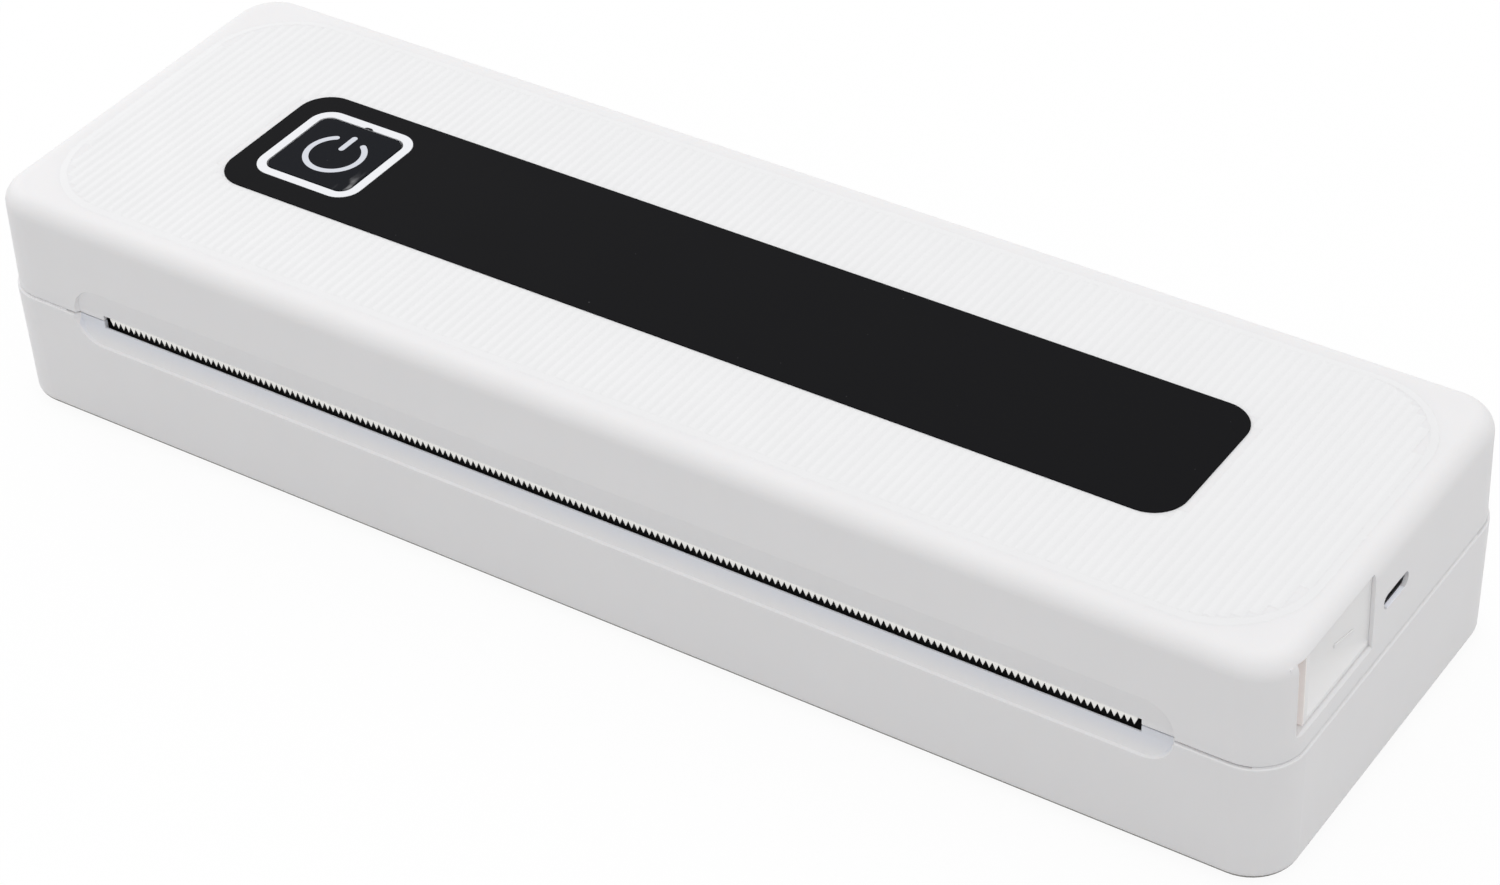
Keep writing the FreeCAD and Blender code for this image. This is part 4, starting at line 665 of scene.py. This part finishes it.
# %% Edge of the ribbed field
SHEET, SLOPE_LOOPS = 0.05, ((-0.2, 0.006), (0.25, -0.07), (1.3, -0.21))
slope = bmesh.new()
loops = [add_rounded_loop(slope, field_x + offset, field_y + offset, FIELD_RADIUS + offset,
                          field_floor + rise) for offset, rise in SLOPE_LOOPS]
for upper, lower in zip(loops, loops[1:]):
    bmesh.ops.bridge_loops(slope, edges=upper + lower)
thicken(slope, -SHEET)
make_piece("field_slope", slope, "cover", rib_white, smooth=True)

# %% [markdown]
# ## Power symbol
# The key carries the usual power symbol, an open ring with a bar. It is pad-printed, so it is
# nearly flat. Each stroke ends in half a disc, which is spun from half of the stroke's width.

# %% Stroke ends
STROKE_HALF, END_STEPS = 0.575, 10


def add_stroke_end(shape, middle, outwards, turn):
    """Half a disc on the end of a stroke."""
    hub = shape.verts.new(middle)
    rim = shape.verts.new(middle + outwards * STROKE_HALF)
    edge = shape.edges.new((hub, rim))
    bmesh.ops.spin(shape, geom=[hub, rim, edge], cent=middle, axis=(0, 0, 1), angle=turn,
                   steps=END_STEPS)


# %% [markdown]
# The ring is an edge across the stroke that is spun round the middle of the key, and the bar is
# two faces. The flat mark is merged and gets the thickness of the ink, most of which lies in the
# key.

# %% Power symbol
SYMBOL_RADIUS, SYMBOL_GAP, SYMBOL_STEPS, SYMBOL_SHIFT = 5.42, 34.5, 56, -0.06
BAR_FROM, BAR_TO, INK, INK_SINK, MERGE = 2.0, 5.85, 0.04, 0.035, 0.005
SIDES, SIDEWAYS = (-1, 0, 1), Vector((1, 0, 0))
key_low, key_high = millimetres("power_key")
key_middle = (key_low + key_high) / 2
centre = Vector((key_middle.x, key_middle.y + SYMBOL_SHIFT, key_high.z - INK_SINK))

symbol = bmesh.new()
start, sweep = math.radians(90 + SYMBOL_GAP), math.radians(360 - 2 * SYMBOL_GAP)
near = Vector((math.cos(start), math.sin(start), 0))
across = [symbol.verts.new(centre + near * (SYMBOL_RADIUS + side * STROKE_HALF)) for side in SIDES]
stroke = [symbol.edges.new(pair) for pair in zip(across, across[1:])]
bmesh.ops.spin(symbol, geom=across + stroke, cent=centre, axis=(0, 0, 1), angle=sweep,
               steps=SYMBOL_STEPS)
far = Matrix.Rotation(sweep, 3, "Z") @ near
for outwards, turn in ((near, -math.pi), (far, math.pi)):
    add_stroke_end(symbol, centre + outwards * SYMBOL_RADIUS, outwards, turn)

bar_ends = [centre + Vector((0, level, 0)) for level in (BAR_FROM, BAR_TO)]
corners = [symbol.verts.new(end + SIDEWAYS * side * STROKE_HALF)
           for end in bar_ends for side in SIDES]
for left in (0, 1):
    symbol.faces.new([corners[left + step] for step in (0, 1, 4, 3)])
for end, turn in zip(bar_ends, (-math.pi, math.pi)):
    add_stroke_end(symbol, end, SIDEWAYS, turn)
bmesh.ops.remove_doubles(symbol, verts=symbol.verts, dist=MERGE)
thicken(symbol, INK)
make_piece("power_symbol", symbol, "key", mark_pale)

# %% [markdown]
# The clear ring round the key was filled through a small gate. What is left of it is a dark nub
# on the inner edge at the back: half of a flat disc that lies on the ring.

# %% Gate mark on the ring
GATE_HALF, GATE_DEPTH, GATE_RIGHT, GATE_OVERHANG = 0.95, 0.5, 0.4, 0.05
GATE_THICK, GATE_SINK = 0.04, 0.02
KEY_HALF, KEY_GAP = 9.3, 0.3
_, ring_high = millimetres("light_ring")
ring_inner = key_middle.y + KEY_HALF + KEY_GAP
gate = bmesh.new()
bmesh.ops.create_circle(gate, cap_ends=True, segments=28, radius=GATE_HALF)
cut_away(gate, (0, 0, 0), (0, -1, 0))
bmesh.ops.scale(gate, vec=(1, GATE_DEPTH / GATE_HALF, 1), verts=gate.verts)
gate_spot = (key_middle.x + GATE_RIGHT, ring_inner - GATE_OVERHANG, ring_high.z - GATE_SINK)
bmesh.ops.translate(gate, vec=gate_spot, verts=gate.verts)
thicken(gate, GATE_THICK)
make_piece("ring_gate", gate, "cover", gate_black)

# %% [markdown]
# ## Release button
# A short raised dash on the button's face says where to push. It is a thin bar with rounded edges
# that leans with the scoop.

# %% Dash on the button
DASH_SIZE, DASH_BEVEL, DASH_Y, DASH_Z = (0.24, 5.2, 0.8), 0.11, -16.3, 35.6
SCOOP_DEPTH, RIM = 3.4, 1.3
button_low, button_high = millimetres("release_button")
scoop_length = button_high.y - button_low.y - RIM
dash_depth = SCOOP_DEPTH * (button_high.y - DASH_Y) / scoop_length
dash = bmesh.new()
add_bar(dash, DASH_SIZE, (button_high.x - dash_depth, DASH_Y, DASH_Z), DASH_BEVEL,
        -math.atan(SCOOP_DEPTH / scoop_length))
make_piece("button_dash", dash, "latch", white_button)

# %% [markdown]
# Behind and below the button, two more bars bring its edges closer to the pocket, as a moulded
# flange does.

# %% Flange of the button
FLANGE_THICK, FLANGE_DEEP, FLANGE_BACK, FLANGE_TRIM, FLANGE_BEVEL = 0.44, 2.5, 0.1, 0.1, 0.05
button_middle, button_size = (button_low + button_high) / 2, button_high - button_low
flange_x = button_high.x - FLANGE_BACK - FLANGE_DEEP / 2
flange = bmesh.new()
add_bar(flange, (FLANGE_DEEP, FLANGE_THICK, button_size.z - FLANGE_TRIM),
        (flange_x, button_high.y, button_middle.z), FLANGE_BEVEL)
add_bar(flange, (FLANGE_DEEP, button_size.y - FLANGE_TRIM, FLANGE_THICK),
        (flange_x, button_middle.y, button_low.z), FLANGE_BEVEL)
make_piece("button_flange", flange, "latch", white_button)

# %% [markdown]
# ## Lip in the seam
# Where base and cover meet along the ends, the base has a thin lip that almost touches the cover,
# so that the seam is a bright ledge and not a dark gap. A ring is cut down to the two ends and
# away from the hinge.

# %% Lip in the seam
SEAM_LEVEL, LIP_WIDTH, LIP_HEIGHT, LIP_RADIUS, LIP_SETBACK = 25.0, 0.4, 0.26, 8.6, 0.02
LIP_BACK = 30.0
# name, side, where the lip starts along X
LIPS = (("left", -1, 116.0), ("right", 1, 127.0))
for label, side, lip_from in LIPS:
    lip = bmesh.new()
    rings = [add_rounded_loop(lip, cover_high.x - inset, -cover_low.y - inset,
                              LIP_RADIUS + LIP_SETBACK - inset, SEAM_LEVEL)
             for inset in (LIP_SETBACK, LIP_SETBACK + LIP_WIDTH)]
    bmesh.ops.bridge_loops(lip, edges=rings[0] + rings[1])
    cut_away(lip, (side * lip_from, 0, 0), (-side, 0, 0))
    cut_away(lip, (0, LIP_BACK, 0), (0, 1, 0))
    thicken(lip, LIP_HEIGHT)
    make_piece("seam_lip_" + label, lip, "base", white_shell)

# %% [markdown]
# ## Inside the casing
# The screw heads get their cross slots as painted shade: dark bars sunk in the heads stand in for
# the shade in a recess. Each row of the table is a pair of screws, left and right.

# %% Cross slots of the screws
CROSS_LENGTH, CROSS_WIDTH, CROSS_DEEP, FINE_BEVEL = 2.5, 0.6, 0.06, 0.01
# body, place along X on each side, place along Y, level of the slot
SCREW_PAIRS = (("base", 98.0, 30.3, 24.66), ("cover", 88.0, 30.3, 24.26),
               ("cover", 88.0, -30.0, 30.66))
slots = {"base": bmesh.new(), "cover": bmesh.new()}
for body, x, y, level in SCREW_PAIRS:
    for side in (-1, 1):
        for across in ((CROSS_LENGTH, CROSS_WIDTH), (CROSS_WIDTH, CROSS_LENGTH)):
            add_bar(slots[body], (*across, CROSS_DEEP), (side * x, y, level), FINE_BEVEL)
for body, shape in slots.items():
    make_piece("cross_slots_" + body, shape, body, slot_painted_shade)

# %% [markdown]
# The heater strip gets its print line, the row of dots that burns the paper, right over the
# roller. A broader lead runs beside it.

# %% Print line
PLATEN_Y, LEAD_SHIFT = -30.0, 3.0
DOTS_SHORTER, DOTS_SIZE = 4, (0.5, 0.06)
LEAD_SHORTER, LEAD_SIZE = 2, (1.1, 0.04)
heater_low, heater_high = millimetres("heater_strip")
heater_length = heater_high.x - heater_low.x
line = bmesh.new()
for shorter, size, y in ((DOTS_SHORTER, DOTS_SIZE, PLATEN_Y),
                         (LEAD_SHORTER, LEAD_SIZE, PLATEN_Y + LEAD_SHIFT)):
    add_bar(line, (heater_length - shorter, *size), (0, y, heater_low.z), FINE_BEVEL)
make_piece("print_line", line, "head", line_dark)

# %% [markdown]
# The socket gets a dark tongue with a row of brass contacts on each of its faces.

# %% Tongue and contacts of the socket
TONGUE_SIZE, TONGUE_BACK, TONGUE_BEVEL = (5.6, 6.7, 0.8), 0.2, 0.12
CONTACT_SIZE, CONTACT_BACK, CONTACT_PITCH, CONTACT_LEVEL = (2.2, 0.26, 0.05), 2.2, 0.5, 0.405
CONTACTS = 12
socket_low, socket_high = millimetres("usb_socket")
port = (socket_low + socket_high) / 2
tongue = bmesh.new()
tongue_x = socket_high.x - TONGUE_BACK - TONGUE_SIZE[0] / 2
add_bar(tongue, TONGUE_SIZE, (tongue_x, port.y, port.z), TONGUE_BEVEL)
make_piece("socket_tongue", tongue, "cover", chip_black)

contacts = bmesh.new()
for number in range(CONTACTS):
    y = port.y + (number - (CONTACTS - 1) / 2) * CONTACT_PITCH
    for face in (-1, 1):
        spot = (socket_high.x - CONTACT_BACK, y, port.z + face * CONTACT_LEVEL)
        add_bar(contacts, CONTACT_SIZE, spot, FINE_BEVEL)
make_piece("socket_contacts", contacts, "cover", brass)
